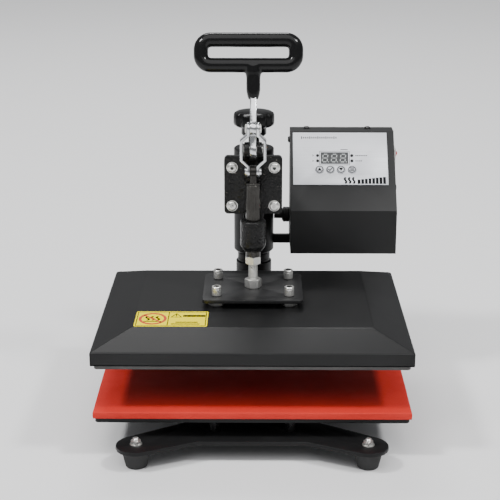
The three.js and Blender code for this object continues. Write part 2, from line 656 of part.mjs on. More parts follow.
function cutForControls(manifold, windowMargin, buttonClearance) {
  const { left, right, low, high } = WINDOW;
  const m = windowMargin;
  const window = block(left - m, right + m, low - m, high + m, -6, 6);
  let result = manifold.subtract(onSlope(window));
  const hole = rod(BUTTON.radius + buttonClearance, -6, 6, ROUND);
  for (const [x, along] of buttonPlaces()) result = result.subtract(onSlope(hole.translate([x, along, 0])));
  return result;
}

function boxShell() {
  const [outerFold, outerRidge] = boxProfile(0);
  const [innerFold, innerRidge] = boxProfile(SHEET);
  const { front, back, bottom, top, left, right } = BOX;
  const outside = outline([[front, bottom], outerFold, outerRidge, [back, top], [back, bottom]]);
  const inside = outline([
    [front + SHEET, bottom - 1], innerFold, innerRidge, [back + 1, top - SHEET], [back + 1, bottom - 1],
  ]);
  let shell = acrossX(outside, left, right).subtract(acrossX(inside, left + SHEET, right - SHEET));
  shell = cutForControls(shell, 0.3, 0.3);
  const { y, z } = ROCKER;
  shell = shell.subtract(block(right - 3, right + 1, y - 6.5, y + 6.5, z - 9.5, z + 9.5));
  const rodHole = laidAlong('x', rod(4.3, left - 1, left + 3)).translate([0, POST_Y, MOUNT_ROD.z]);
  return shell.subtract(rodHole);
}

// Bottom and back in one folded sheet, inside the shell.
function boxChassis() {
  const gap = SHEET + FIT;
  const fold = outline([
    [BOX.front + gap, BOX.bottom], [BOX.back, BOX.bottom], [BOX.back, BOX.top - gap],
    [BOX.back - SHEET, BOX.top - gap],
    [BOX.back - SHEET, BOX.bottom + SHEET],
    [BOX.front + gap, BOX.bottom + SHEET],
  ]);
  const sheet = acrossX(fold, BOX.left + gap, BOX.right - gap);
  const inletHole = laidAlong('y', rod(6.3, -BOX.back - 1, 3 - BOX.back));
  return sheet.subtract(inletHole.translate([CORD_INLET.x, 0, CORD_INLET.z]));
}

function cordInlet() {
  const inlet = turned([
    [0, 8], [9, 8], [9, 4], [6, 4], [6, -FIT], [9.5, -FIT], [9.5, -4],
    [7, -5.5], [5, -15], [3.4, -15], [3.4, 2], [0, 2],
  ], SMALL_ROUND);
  return laidAlong('y', inlet).translate([CORD_INLET.x, BOX.back, CORD_INLET.z]);
}

function rockerHousing() {
  const { y, z } = ROCKER;
  const body = block(BOX.right - 12.5, BOX.right + 0.5, y - 6.2, y + 6.2, z - 9.2, z + 9.2);
  const bezel = block(BOX.right + FIT, BOX.right + 1.5, y - 7.5, y + 7.5, z - 10.5, z + 10.5);
  return body.add(bezel).subtract(block(BOX.right - 10.7, BOX.right + 2, y - 5.2, y + 5.2, z - 8, z + 8));
}

function rocker() {
  const face = outline([[-3, -5.4], [6.2, -6.6], [5.4, 0], [6.2, 6.6], [-3, 5.4]]);
  return acrossY(face, -4.9, 4.9).add(acrossY(disc(0, 0, 6), -4.9, 4.9, 10));
}

function buildControlBox() {
  const box = new THREE.Group();
  press.add(box);
  add(box, 'box_shell', boxShell(), blackPaint);
  add(box, 'box_chassis', boxChassis(), blackPaint);
  const panel = block(PANEL.left, PANEL.right, PANEL.low, PANEL.high, 0.1, PANEL.thickness);
  add(box, 'control_panel', cutForControls(onSlope(panel), 0.3, 0.3), aluminium);
  const glass = block(WINDOW.left, WINDOW.right, WINDOW.low, WINDOW.high, -SHEET - 1, PANEL.thickness);
  const display = glass.add(block(70, 104.5, 55, 72, -SHEET - 6, -SHEET - FIT));
  add(box, 'display_module', onSlope(display), blackPlastic);
  buttonPlaces().forEach(([x, along], i) => {
    const cap = rod(BUTTON.radius, -SHEET - 4, PANEL.thickness + BUTTON.proud, ROUND);
    add(box, `button_${i + 1}`, onSlope(cap.translate([x, along, 0])), palePlastic);
  });
  add(box, 'controller_board', onSlope(block(52, 135, 36, 90, -SHEET - 9, -SHEET - 7.4)), boardGreen);
  add(box, 'rocker_housing', rockerHousing(), palePlastic);
  const switchKey = add(box, 'power_rocker', rocker(), redPlastic, [ROCKER.pivotX, ROCKER.y, ROCKER.z]);
  switchKey.rotation.y = ROCKER.tilt;
  add(box, 'cord_inlet', cordInlet(), blackPlastic);
  const sleeveCut = rod(SLEEVE.radius + FIT, 100, 260, ROUND).translate([0, POST_Y, 0]);
  const bracket = block(15, 100, POST_Y - 3, POST_Y + 3, BOX.bottom - 10, BOX.bottom - FIT);
  add(box, 'box_bracket', bracket.subtract(sleeveCut), blackPaint);
  const mount = rod(MOUNT_ROD.radius, 15, MOUNT_ROD.nutLeft + 1)
    .add(rod(MOUNT_ROD.nutRadius, MOUNT_ROD.nutLeft, BOX.left - FIT, ROUND))
    .add(rod(4, MOUNT_ROD.nutLeft, BOX.left + 7));
  const mountRod = laidAlong('x', mount).translate([0, POST_Y, MOUNT_ROD.z]).subtract(sleeveCut);
  add(box, 'box_mount_rod', mountRod, blackPaint);
}

buildStand();
buildPost();
buildHead();
buildLever();
buildLinks();
buildPlunger();
buildControlBox();

export default press;
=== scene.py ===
# %% [markdown]
# # A swing-away heat press
# This lesson dresses the CAD model of a small heat press for a picture. The solids already have
# the right size and joints, so every step here adds what a machinist, a painter or a printer
# would: rounded edges, threads, recesses, coatings and marks. Lengths are in metres, and MM
# turns the drawing's millimetres into them.

# %% load the frame
import math

import bmesh
import bpy
from mathutils import Matrix, Vector


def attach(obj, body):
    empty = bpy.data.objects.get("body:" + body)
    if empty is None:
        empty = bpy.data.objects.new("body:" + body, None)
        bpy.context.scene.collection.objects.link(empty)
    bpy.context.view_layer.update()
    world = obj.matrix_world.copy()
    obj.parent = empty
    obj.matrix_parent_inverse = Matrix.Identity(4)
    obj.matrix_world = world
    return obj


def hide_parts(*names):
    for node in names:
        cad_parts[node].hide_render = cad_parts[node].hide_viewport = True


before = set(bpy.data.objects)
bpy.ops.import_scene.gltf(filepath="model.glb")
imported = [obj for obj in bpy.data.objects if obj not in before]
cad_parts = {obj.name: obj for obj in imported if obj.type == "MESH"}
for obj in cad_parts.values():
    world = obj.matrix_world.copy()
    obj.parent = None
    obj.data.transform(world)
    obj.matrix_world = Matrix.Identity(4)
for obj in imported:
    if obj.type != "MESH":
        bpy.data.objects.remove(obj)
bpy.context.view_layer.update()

MM = 0.001

# %% [markdown]
# ## Camera
# The press is seen from the front, a little above. A long lens keeps the platens' edges nearly
# parallel. It is one pinhole camera with no shift and no depth of field, so it can be moved
# round the object for the other views.

# %% camera
CAMERA_PLACE = (0.00754, -1.29215, 0.56808)
CAMERA_TILT = (math.radians(72.8), 0.0, math.radians(0.478))
LENS_MM = 94.9

camera_data = bpy.data.cameras.new("front_camera")
camera_data.lens = LENS_MM
camera_data.sensor_width = 36.0
camera_data.clip_end = 100.0
camera = bpy.data.objects.new("front_camera", camera_data)
camera.location = CAMERA_PLACE
camera.rotation_euler = CAMERA_TILT
bpy.context.scene.collection.objects.link(camera)
bpy.context.scene.camera = camera
print("camera at", CAMERA_PLACE)

# %% [markdown]
# ## Wiring helpers
# A material is a small graph of nodes. Writing one out by hand takes three lines a node, so a
# short class adds a node, sets its settings and joins its inputs in one call. The shader's own
# constants stay on the shader, and only what changes over the surface is wired in.


# %% wiring helpers
class Wiring:
    """Adds nodes to one node tree and joins them."""

    def __init__(self, tree):
        self.tree = tree

    def add(self, kind, inputs=None, **settings):
        node = self.tree.nodes.new("ShaderNode" + kind)
        for key, value in settings.items():
            setattr(node, key, value)
        for key, value in (inputs or {}).items():
            if isinstance(value, bpy.types.NodeSocket):
                self.link(value, node.inputs[key])
            else:
                node.inputs[key].default_value = value
        return node

    def math(self, operation, first, second=0.0):
        return self.add("Math", {0: first, 1: second}, operation=operation).outputs[0]

    def ramp(self, value, low, high, out_low=0.0, out_high=1.0):
        inputs = {"Value": value, "From Min": low, "From Max": high}
        inputs |= {"To Min": out_low, "To Max": out_high}
        return self.add("MapRange", inputs, clamp=True).outputs["Result"]

    def noise(self, vector, scale, detail=2.0, roughness=0.5):
        inputs = {"Vector": vector, "Scale": scale, "Detail": detail, "Roughness": roughness}
        return self.add("TexNoise", inputs).outputs["Fac"]

    def blend(self, amount, first, second):
        return self.add("Mix", {0: amount, 6: first, 7: second}, data_type="RGBA").outputs[2]

    def place(self):
        return self.add("TexCoord").outputs["Object"]

    def link(self, source, target):
        self.tree.links.new(source, target)

    def bump(self, shader, height, depth_mm):
        """Bends the shader's normal by a height map that is so many millimetres deep."""
        node = self.add("Bump", {"Height": height, "Distance": depth_mm * MM, "Strength": 1.0})
        self.link(node.outputs["Normal"], shader.inputs["Normal"])


def shared_effect(name, inputs, output):
    """A node group with number inputs and one number output: its tree, wiring, entry and exit."""
    tree = bpy.data.node_groups.new(name, "ShaderNodeTree")
    for label, value in inputs.items():
        socket = tree.interface.new_socket(label, in_out="INPUT", socket_type="NodeSocketFloat")
        socket.default_value = value
    tree.interface.new_socket(output, in_out="OUTPUT", socket_type="NodeSocketFloat")
    entry = tree.nodes.new("NodeGroupInput").outputs
    leave = tree.nodes.new("NodeGroupOutput").inputs[0]
    return tree, Wiring(tree), entry, leave


print("wiring helpers are ready")

# %% [markdown]
# ## Shared surface effects
# The finishes share five effects. Grain is the fine orange peel of a powder coat or the pores
# of rubber. Brushing is long, thin lines that a belt leaves on metal. Rubbed edges show where
# hands and cloth take a coat off. Dust lies on faces that look up. Mottle is the slow drift of
# shade that stops a surface looking computed. Each is a node group, built once.

# %% shared surface effects
grain, wiring, entry, leave = shared_effect("grain", {"Scale": 900.0, "Softness": 0.5}, "Height")
place = wiring.place()
fine = wiring.noise(place, entry["Scale"], 3.0, 0.55)
double = wiring.math("MULTIPLY", entry["Scale"], 2.3)
finer = wiring.noise(place, double, 2.0)
mixed = wiring.add("Mix", {0: entry["Softness"], 2: finer, 3: fine}).outputs[0]
wiring.link(mixed, leave)

brushing, wiring, entry, leave = shared_effect(
    "brushing", {"Along X": 6.0, "Along Y": 600.0, "Along Z": 600.0}, "Height"
)
place = wiring.place()
scale = wiring.add("CombineXYZ", {i: entry[i] for i in range(3)}).outputs[0]
stretched = wiring.add("VectorMath", {0: place, 1: scale}, operation="MULTIPLY").outputs[0]
lines = wiring.noise(stretched, 1.0, 3.0, 0.7)
wiring.link(lines, leave)

rubbed_edge, wiring, entry, leave = shared_effect(
    "rubbed_edge", {"Start": 0.55, "Reach": 0.05, "Patch": 90.0}, "Mask"
)
place = wiring.place()
corner = wiring.add("NewGeometry").outputs["Pointiness"]
high = wiring.math("ADD", entry["Start"], entry["Reach"])
on_edge = wiring.ramp(corner, entry["Start"], high)
patches = wiring.ramp(wiring.noise(place, entry["Patch"], 4.0, 0.6), 0.42, 0.62)
wiring.link(wiring.math("MULTIPLY", on_edge, patches), leave)

settled_dust, wiring, entry, leave = shared_effect("settled_dust", {"Patch": 35.0}, "Mask")
place = wiring.place()
facing = wiring.add("SeparateXYZ", {0: wiring.add("NewGeometry").outputs["Normal"]}).outputs["Z"]
level = wiring.ramp(facing, 0.55, 0.98)
clouds = wiring.ramp(wiring.noise(place, entry["Patch"], 5.0, 0.62), 0.4, 0.75)
specks = wiring.ramp(wiring.noise(place, 1500.0, 1.0), 0.62, 0.74)
film = wiring.math("ADD", wiring.math("MULTIPLY", clouds, 0.7), wiring.math("MULTIPLY", specks, 0.3))
wiring.link(wiring.math("MULTIPLY", level, film), leave)

mottle, wiring, entry, leave = shared_effect("mottle", {"Size": 40.0}, "Mask")
place = wiring.place()
drift = wiring.noise(place, entry["Size"], 5.0, 0.6)
wiring.link(wiring.ramp(drift, 0.3, 0.7), leave)
print("shared effects:", ", ".join(group.name for group in bpy.data.node_groups))

# %% [markdown]
# ## One recipe for a finish
# Every finish is a Principled shader. Its colour drifts between two near shades, goes to a bare
# tone where edges are rubbed and to a pale one under dust. Its roughness drifts too, and its
# bump comes from grain or brushing. A function with these as arguments keeps each finish to a
# few lines, so that they can be compared and tuned side by side.


# %% the finish recipe
BRUSHED_SHADE = 0.82
DUST_SHADE = (0.42, 0.41, 0.39)


def rgba(colour):
    return (*colour, 1.0)


def place_effect(wiring, effect, **values):
    node = wiring.tree.nodes.new("ShaderNodeGroup")
    node.node_tree = effect
    for label, value in values.items():
        node.inputs[label.replace("_", " ")].default_value = value
    return node.outputs[0]


def make_finish(
    name,
    shade,
    other_shade,
    roughness,
    metallic=0.0,
    specular=0.5,
    grain_scale=900.0,
    grain_height=0.0,
    brush=None,
    brush_height=0.0,
    drift_size=40.0,
    worn_shade=None,
    wear_start=0.56,
    dust=0.0,
    constants=None,
):
    """A finish. roughness is (smoothest, roughest); heights are in millimetres."""
    material = bpy.data.materials.new(name)
    material.use_nodes = True
    material.diffuse_color = rgba(shade)
    wiring = Wiring(material.node_tree)
    shader = material.node_tree.nodes["Principled BSDF"]
    shader.inputs["Metallic"].default_value = metallic
    shader.inputs["Specular IOR Level"].default_value = specular
    for label, value in (constants or {}).items():
        shader.inputs[label].default_value = value

    drift = place_effect(wiring, mottle, Size=drift_size)
    colour = wiring.blend(drift, rgba(shade), rgba(other_shade))
    rough = wiring.ramp(drift, 0.0, 1.0, *roughness)
    height = None
    if grain_height:
        height = place_effect(wiring, grain, Scale=grain_scale)
    if brush:
        lines = place_effect(wiring, brushing, Along_X=brush[0], Along_Y=brush[1], Along_Z=brush[2])
        streak = wiring.ramp(lines, 0.35, 0.65, -0.06, 0.06)
        rough = wiring.math("ADD", rough, streak)
        tone = wiring.ramp(lines, 0.3, 0.7, 0.0, 0.5)
        colour = wiring.blend(tone, colour, rgba([BRUSHED_SHADE * part for part in other_shade]))
        height = lines
    if worn_shade:
        worn = place_effect(wiring, rubbed_edge, Start=wear_start)
        colour = wiring.blend(worn, colour, rgba(worn_shade))
        rough = wiring.math("SUBTRACT", rough, wiring.math("MULTIPLY", worn, 0.1))
    if dust:
        film = wiring.math("MULTIPLY", place_effect(wiring, settled_dust), dust)
        colour = wiring.blend(film, colour, rgba(DUST_SHADE))
        rough = wiring.math("ADD", rough, wiring.math("MULTIPLY", film, 0.35))
    wiring.link(colour, shader.inputs["Base Color"])
    wiring.link(rough, shader.inputs["Roughness"])
    if height is not None:
        wiring.bump(shader, height, brush_height if brush else grain_height)
    return material


def spotted(wiring, shader, mask, colour):
    """Lays a second colour over the shader's own one, where the mask is bright."""
    own = shader.inputs["Base Color"].links[0].from_socket
    wiring.link(wiring.blend(mask, own, rgba(colour)), shader.inputs["Base Color"])


print("the finish recipe is ready")

# %% [markdown]
# ## Paints
# Most of the press is powder coated black. On the stand, post and arm the coat is satin with a
# faint orange peel. The platen cover and its hanger plate have a smoother, glossier coat that
# picks up the room. The control box is a charcoal, matter and a little lighter. The clamp
# casting wears a wrinkle paint that hides its rough skin: a Voronoi ridge makes the folds, and
# small pale chips show in them.

# %% paints
satin_black = make_finish(
    "satin_black_coat", (0.0065, 0.0065, 0.0068), (0.0085, 0.0085, 0.0089), (0.40, 0.46),
    grain_scale=1300.0, grain_height=0.05, dust=0.008, specular=0.20,
)
cover_black = make_finish(
    "cover_black_coat", (0.0070, 0.0071, 0.0073), (0.0080, 0.0081, 0.0083), (0.38, 0.42),
    grain_scale=1500.0, grain_height=0.035, drift_size=14.0, dust=0.006,
    specular=0.24,
)
hanger_black = make_finish(
    "hanger_black_coat", (0.0110, 0.0111, 0.0114), (0.0125, 0.0126, 0.0130), (0.34, 0.40),
    grain_scale=1200.0, grain_height=0.03, dust=0.006, specular=0.42,
)
box_charcoal = make_finish(
    "box_charcoal_coat", (0.0135, 0.0137, 0.0139), (0.0150, 0.0152, 0.0154), (0.46, 0.52),
    grain_scale=1600.0, grain_height=0.06, dust=0.008, specular=0.22,
)

wrinkle_black = make_finish(
    "wrinkle_black_coat", (0.0065, 0.0065, 0.0065), (0.0085, 0.0085, 0.0085), (0.24, 0.34),
    dust=0.006, specular=0.24,
)
wiring = Wiring(wrinkle_black.node_tree)
shader = wrinkle_black.node_tree.nodes["Principled BSDF"]
place = wiring.place()
bend = wiring.add("TexNoise", {"Vector": place, "Scale": 260.0, "Detail": 2.0}).outputs["Color"]
swayed = wiring.add("MixRGB", {0: 0.0035, 1: place, 2: bend}).outputs[0]
cells = wiring.add("TexVoronoi", {"Vector": swayed, "Scale": 520.0}, feature="SMOOTH_F1")
wiring.bump(shader, wiring.ramp(cells.outputs["Distance"], 0.0, 0.75), 0.45)
chip = wiring.ramp(wiring.noise(place, 700.0, 2.0, 0.7), 0.70, 0.73)
spotted(wiring, shader, chip, (0.34, 0.31, 0.26))
paints = (satin_black, cover_black, hanger_black, box_charcoal, wrinkle_black)
print("paints:", ", ".join(paint.name for paint in paints))

# %% [markdown]
# ## Metals
# The lever bar and links are nickel-chromed over a forged skin, so they mirror the room but
# ripple a little. Screws and nuts are zinc plated, with the yellowish drift of a passivated
# coat. The plunger is oiled, ground steel and looks dark. The heated platen is milled
# aluminium under a grey non-stick coat that is rubbed bright along its edge. Small fixings are
# blackened, and the control panel is a fine brushed sheet. A metal's colour sits in its
# reflection, so the bare metals are fully metallic and the coated ones partly so.

# %% metals
chrome = make_finish(
    "chromed_steel", (0.76, 0.77, 0.78), (0.62, 0.63, 0.64), (0.10, 0.22), metallic=1.0,
    grain_scale=240.0, grain_height=0.16, drift_size=120.0,
)
zinc = make_finish(
    "zinc_plate", (0.80, 0.80, 0.78), (0.68, 0.67, 0.63), (0.26, 0.36), metallic=0.86,
    grain_scale=1000.0, grain_height=0.02, drift_size=120.0,
)
oiled_steel = make_finish(
    "oiled_steel", (0.062, 0.060, 0.056), (0.038, 0.036, 0.034), (0.24, 0.34), metallic=1.0,
    brush=(1500.0, 1500.0, 60.0), brush_height=0.012, drift_size=70.0,
)
coated_aluminium = make_finish(
    "coated_aluminium", (0.085, 0.083, 0.082), (0.062, 0.061, 0.060), (0.30, 0.42), metallic=0.7,
    brush=(30.0, 30.0, 2600.0), brush_height=0.02, drift_size=60.0,
    worn_shade=(0.42, 0.42, 0.41), wear_start=0.57,
)
blackened_steel = make_finish(
    "blackened_steel", (0.060, 0.059, 0.060), (0.040, 0.039, 0.040), (0.22, 0.34), metallic=0.9,
    grain_scale=900.0, grain_height=0.04, drift_size=150.0,
)
panel_sheet = make_finish(
    "panel_sheet", (0.66, 0.67, 0.70), (0.61, 0.62, 0.65), (0.44, 0.52), metallic=0.35,
    brush=(8.0, 1800.0, 1800.0), brush_height=0.006, drift_size=30.0,
)
bronze = make_finish(
    "bush_bronze", (0.40, 0.21, 0.07), (0.30, 0.15, 0.05), (0.25, 0.38), metallic=1.0,
    brush=(60.0, 60.0, 2400.0), brush_height=0.015,
)
metals = (chrome, zinc, oiled_steel, coated_aluminium, blackened_steel, panel_sheet, bronze)
print("metals:", ", ".join(metal.name for metal in metals))

# %% [markdown]
# ## Rubber, foam and plastics
# The feet are carbon-black rubber with mould grain. The pad is red silicone sponge: a fine
# skin with pores and a faint weave from the cloth it was pressed against. The loop grip is
# dipped in black vinyl, smooth and shiny. The knob is moulded phenolic, and the small control
# parts are plastics, each with its own sheen. The red rocker and the yellow label also get a
# faint painted glow, a weak emission that brightens them though neither is a lamp.

# %% rubber, foam and plastics
foot_rubber = make_finish(
    "foot_rubber", (0.012, 0.012, 0.012), (0.018, 0.018, 0.018), (0.62, 0.78),
    grain_scale=1500.0, grain_height=0.12, dust=0.03,
)
dipped_vinyl = make_finish(
    "dipped_vinyl", (0.0050, 0.0050, 0.0052), (0.0070, 0.0070, 0.0072), (0.12, 0.16),
    grain_scale=260.0, grain_height=0.06, drift_size=50.0,
    specular=0.24,
)
moulded_black = make_finish(
    "moulded_black", (0.0050, 0.0050, 0.0051), (0.0068, 0.0068, 0.0070), (0.16, 0.22),
    grain_scale=1400.0, grain_height=0.02, specular=0.16,
)
smoked_window = make_finish(
    "smoked_window", (0.022, 0.024, 0.026), (0.026, 0.028, 0.030), (0.30, 0.36),
    grain_scale=700.0, grain_height=0.004, drift_size=20.0,
)
silver_key = make_finish(
    "silver_key", (0.60, 0.61, 0.64), (0.55, 0.56, 0.59), (0.40, 0.50), metallic=0.2,
    grain_scale=2500.0, grain_height=0.02, drift_size=80.0,
)
pale_plastic = make_finish(
    "pale_plastic", (0.68, 0.68, 0.66), (0.62, 0.62, 0.60), (0.30, 0.40),
    grain_scale=2200.0, grain_height=0.02, dust=0.1,
)
# The red rocker's plastic carries a faint painted glow: a weak red emission that brightens it, though
# the switch is no lamp.
red_plastic = make_finish(
    "red_switch_plastic_painted_glow", (0.42, 0.008, 0.016), (0.34, 0.006, 0.012), (0.22, 0.32),
    grain_scale=1800.0, grain_height=0.02,
    constants={"Emission Color": (0.6, 0.01, 0.02, 1.0), "Emission Strength": 0.15},
)
board_green = make_finish(
    "board_green", (0.010, 0.09, 0.030), (0.008, 0.07, 0.024), (0.30, 0.45),
    grain_scale=1200.0, grain_height=0.05,
)
mineral_wool = make_finish(
    "mineral_wool", (0.52, 0.43, 0.25), (0.40, 0.32, 0.18), (0.85, 0.95),
    grain_scale=420.0, grain_height=0.8, drift_size=90.0,
)
segment_grey = make_finish(
    "unlit_segment", (0.40, 0.42, 0.42), (0.36, 0.38, 0.38), (0.25, 0.32),
    grain_scale=3000.0, grain_height=0.004,
)
black_ink = make_finish(
    "black_ink", (0.004, 0.004, 0.005), (0.007, 0.007, 0.008), (0.55, 0.65),
    grain_scale=3500.0, grain_height=0.01, specular=0.1,
)
red_ink = make_finish(
    "red_ink", (0.55, 0.045, 0.012), (0.48, 0.035, 0.010), (0.40, 0.50),
    grain_scale=3500.0, grain_height=0.01,
)
# The yellow label carries a faint painted glow: a weak yellow emission that brightens it beyond its
# own colour, though it is no lamp.
label_yellow_painted_glow = make_finish(
    "label_yellow_painted_glow", (0.78, 0.66, 0.0), (0.74, 0.62, 0.0), (0.60, 0.70),
    grain_scale=1500.0, grain_height=0.01,
    specular=0.0,
    constants={
        "Emission Color": (1.0, 0.86, 0.0, 1.0), "Emission Strength": 0.16, "IOR": 1.12,
    },
)

silicone_red = make_finish(
    "silicone_red", (0.60, 0.024, 0.014), (0.53, 0.020, 0.012), (0.58, 0.72), drift_size=24.0,
    specular=0.3,
    constants={
        "Subsurface Weight": 0.06, "Subsurface Radius": (0.004, 0.0008, 0.0005),
        "Subsurface Scale": 0.5,
    },
)
wiring = Wiring(silicone_red.node_tree)
shader = silicone_red.node_tree.nodes["Principled BSDF"]
place = wiring.place()
threads = {"Vector": place, "Scale": 230.0, "Distortion": 0.6}
warp, weft = (wiring.add("TexWave", threads, bands_direction=way).outputs["Fac"] for way in "XY")
cloth = wiring.math("MULTIPLY", wiring.math("ADD", warp, weft), 0.22)
pores = wiring.add("TexVoronoi", {"Vector": place, "Scale": 900.0}).outputs["Distance"]
skin = wiring.math("ADD", cloth, wiring.math("MULTIPLY", pores, 0.7))
wiring.bump(shader, skin, 0.16)
pit = wiring.ramp(wiring.noise(place, 1100.0, 2.0), 0.60, 0.74, 0.0, 0.5)
spotted(wiring, shader, pit, (0.30, 0.018, 0.010))
print("materials so far:", len(bpy.data.materials))

# %% [markdown]
# ## Making a piece from a bmesh
# A piece is drawn in millimetres about its own axis, then moved to its place by a matrix that
# is baked into the mesh, because the object itself must sit at the origin. Doubles are merged
# and normals recalculated before a Bevel modifier rounds the edges. Its hardened normals keep
# flat faces flat.


# %% piece helpers
MERGE_DISTANCE = 1e-7
SAME_SPOT = 1e-6


def rounded(piece, width_mm, segments=3, angle=35.0):
    bevel = piece.modifiers.new("rounded edges", "BEVEL")
    bevel.width = width_mm * MM
    bevel.segments = segments
    bevel.limit_method = "ANGLE"
    bevel.angle_limit = math.radians(angle)
    bevel.harden_normals = True
    return piece


def settle(piece, body, nodes=()):
    """Hangs a piece on its body and hides the CAD nodes that it stands for."""
    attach(piece, body)
    if nodes:
        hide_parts(*nodes)
    return piece


def piece_from(bm, name, finish, sharp=None):
    bmesh.ops.remove_doubles(bm, verts=bm.verts, dist=MERGE_DISTANCE)
    bmesh.ops.delete(bm, geom=[edge for edge in bm.edges if not edge.link_faces], context="EDGES")
    bmesh.ops.delete(bm, geom=[point for point in bm.verts if not point.link_edges], context="VERTS")
    bmesh.ops.recalc_face_normals(bm, faces=bm.faces)
    mesh = bpy.data.meshes.new(name)
    bm.to_mesh(mesh)
    bm.free()
    mesh.materials.append(finish)
    mesh.polygons.foreach_set("use_smooth", [True] * len(mesh.polygons))
    if sharp:
        mesh.set_sharp_from_angle(angle=math.radians(sharp))
    piece = bpy.data.objects.new(name, mesh)
    bpy.context.scene.collection.objects.link(piece)
    return piece


def spun(bm, profile, sides=64, place=Matrix()):
    """Turns a half outline of (radius, height) in millimetres once round Z, then places it."""
    before = set(bm.verts)
    points = [bm.verts.new((radius * MM, 0.0, height * MM)) for radius, height in profile]
    lines = [bm.edges.new(pair) for pair in zip(points, points[1:])]
    bmesh.ops.spin(
        bm, geom=points + lines, cent=(0, 0, 0), axis=(0, 0, 1), dvec=(0, 0, 0),
        angle=2 * math.pi, steps=sides, use_merge=True, use_duplicate=False,
    )
    shape = [point for point in bm.verts if point not in before]
    bmesh.ops.transform(bm, matrix=place, verts=shape)


def at(x, y, z):
    """A place in the row frame, given in millimetres."""
    return Matrix.Translation((x * MM, y * MM, z * MM))


TO_X = Matrix.Rotation(math.radians(90), 4, "Y")
TO_FRONT = Matrix.Rotation(math.radians(90), 4, "X")


def only(kind, items):
    return [item for item in items if isinstance(item, kind)]


def block(bm, size, place=Matrix()):
    """A box about the origin, of a size in millimetres, then placed. Returns its points."""
    points = bmesh.ops.create_cube(bm, size=1.0)["verts"]
    bmesh.ops.scale(bm, vec=Vector(size) * MM, verts=points)
    bmesh.ops.transform(bm, matrix=place, verts=points)
    return points


def add_part(bm, part, place):
    """Moves a finished part to its place and adds it to a bmesh."""
    part.transform(place)
    scratch = bpy.data.meshes.new("scratch")
    part.to_mesh(scratch)
    part.free()
    bm.from_mesh(scratch)
    bpy.data.meshes.remove(scratch)


def cad_copy(node):
    """A bmesh of a CAD node, with its corners merged and its flat faces made whole."""
    bm = bmesh.new()
    bm.from_mesh(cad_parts[node].data)
    bmesh.ops.remove_doubles(bm, verts=bm.verts, dist=1e-5)
    bmesh.ops.dissolve_limit(bm, angle_limit=math.radians(0.5), verts=bm.verts, edges=bm.edges)
    return bm


def round_folds(bm, width_mm, angle, shortest_mm):
    """Bevels the long edges that fold by more than an angle, such as a cover's hips."""
    folds = [
        edge for edge in bm.edges
        if len(edge.link_faces) == 2 and edge.calc_face_angle() > math.radians(angle)
        and edge.calc_length() > shortest_mm * MM
    ]
    bmesh.ops.bevel(
        bm, geom=folds, offset=width_mm * MM, offset_type="OFFSET", segments=4, profile=0.5,
        affect="EDGES", clamp_overlap=True, material=-1,
    )


def finished_from_cad(node, finish, body, edge_mm, segments=3, angle=35.0):
    """A CAD node with rounded edges and its finish."""
    piece = piece_from(cad_copy(node), node + "_finished", finish)
    rounded(piece, edge_mm, segments, angle)
    return settle(piece, body, [node])


def drawn_piece(bm, node, finish, body, sharp=30):
    """A piece drawn in a bmesh that stands for one CAD node."""
    return settle(piece_from(bm, node + "_finished", finish, sharp), body, [node])


def turned_piece(node, profile, finish, body, place, sides=64, edge_mm=0.0):
    """A round piece that stands for one CAD node."""
    bm = bmesh.new()
    spun(bm, profile, sides, place)
    piece = piece_from(bm, node + "_finished", finish, None if edge_mm else 30.0)
    if edge_mm:
        rounded(piece, edge_mm, 3, 30.0)
    return settle(piece, body, [node])


print("piece helpers are ready")

# %% [markdown]
# ## Sheet-metal and cast pieces
# The plates, the cover, the box, the arm and the casting already have their true outlines. A
# real edge is never sharp: laser-cut plate loses about half a millimetre, a folded sheet has a
# radius as large as its thickness, and a casting is rounder still. A Bevel modifier on a merged
# copy gives each its own edge and leaves the size alone. The cover is the exception: only its
# long folds are rounded, so that the blank faces between them stay flat. The power rocker and
# its housing are drawn out a little past the box, so that their edge shows from the front.

# %% sheet-metal and cast pieces
for node, finish, body, slot, edge in (
    ("base_plate", satin_black, "base", "black_powder_coat", 0.6),
    ("lower_platen", satin_black, "base", "black_powder_coat", 0.5),
    ("hanger_plate", hanger_black, "ram", "black_gloss_coat", 0.6),
    ("heat_platen", coated_aluminium, "ram", "bare_aluminium", 0.6),
    ("swing_arm", satin_black, "swing_head", "black_powder_coat", 1.0),
    ("clamp_body", wrinkle_black, "swing_head", "wrinkle_paint", 0.9),
    ("box_shell", box_charcoal, "swing_head", "box_paint", 0.7),
    ("box_chassis", box_charcoal, "swing_head", "box_paint", 0.5),
    ("box_bracket", satin_black, "swing_head", "black_powder_coat", 0.6),
    ("control_panel", panel_sheet, "swing_head", "panel_aluminium", 0.15),
    ("lever_bar", chrome, "lever", "chrome_plate", 0.7),
    ("link_left", chrome, "links", "chrome_plate", 0.45),
    ("link_right", chrome, "links", "chrome_plate", 0.45),
):
    piece = finished_from_cad(node, finish, body, edge)
    print(f"{piece.name}: {len(piece.data.polygons)} faces, {edge} mm edge")

# %% power switch
BOX_RIGHT, SWITCH_STRETCH = 152.4, 1.55
for name, finish, body, slot in (
    ("rocker_housing", pale_plastic, "swing_head", "pale_plastic"),
    ("power_rocker", red_plastic, "rocker", "red_plastic"),
):
    bm = cad_copy(name)
    for point in bm.verts:
        proud = point.co.x - BOX_RIGHT * MM
        if proud > 0:
            point.co.x = BOX_RIGHT * MM + proud * SWITCH_STRETCH
    piece = piece_from(bm, f"{name}_finished", finish)
    settle(rounded(piece, 0.4), body, [name])
print("power switch: housing and rocker")

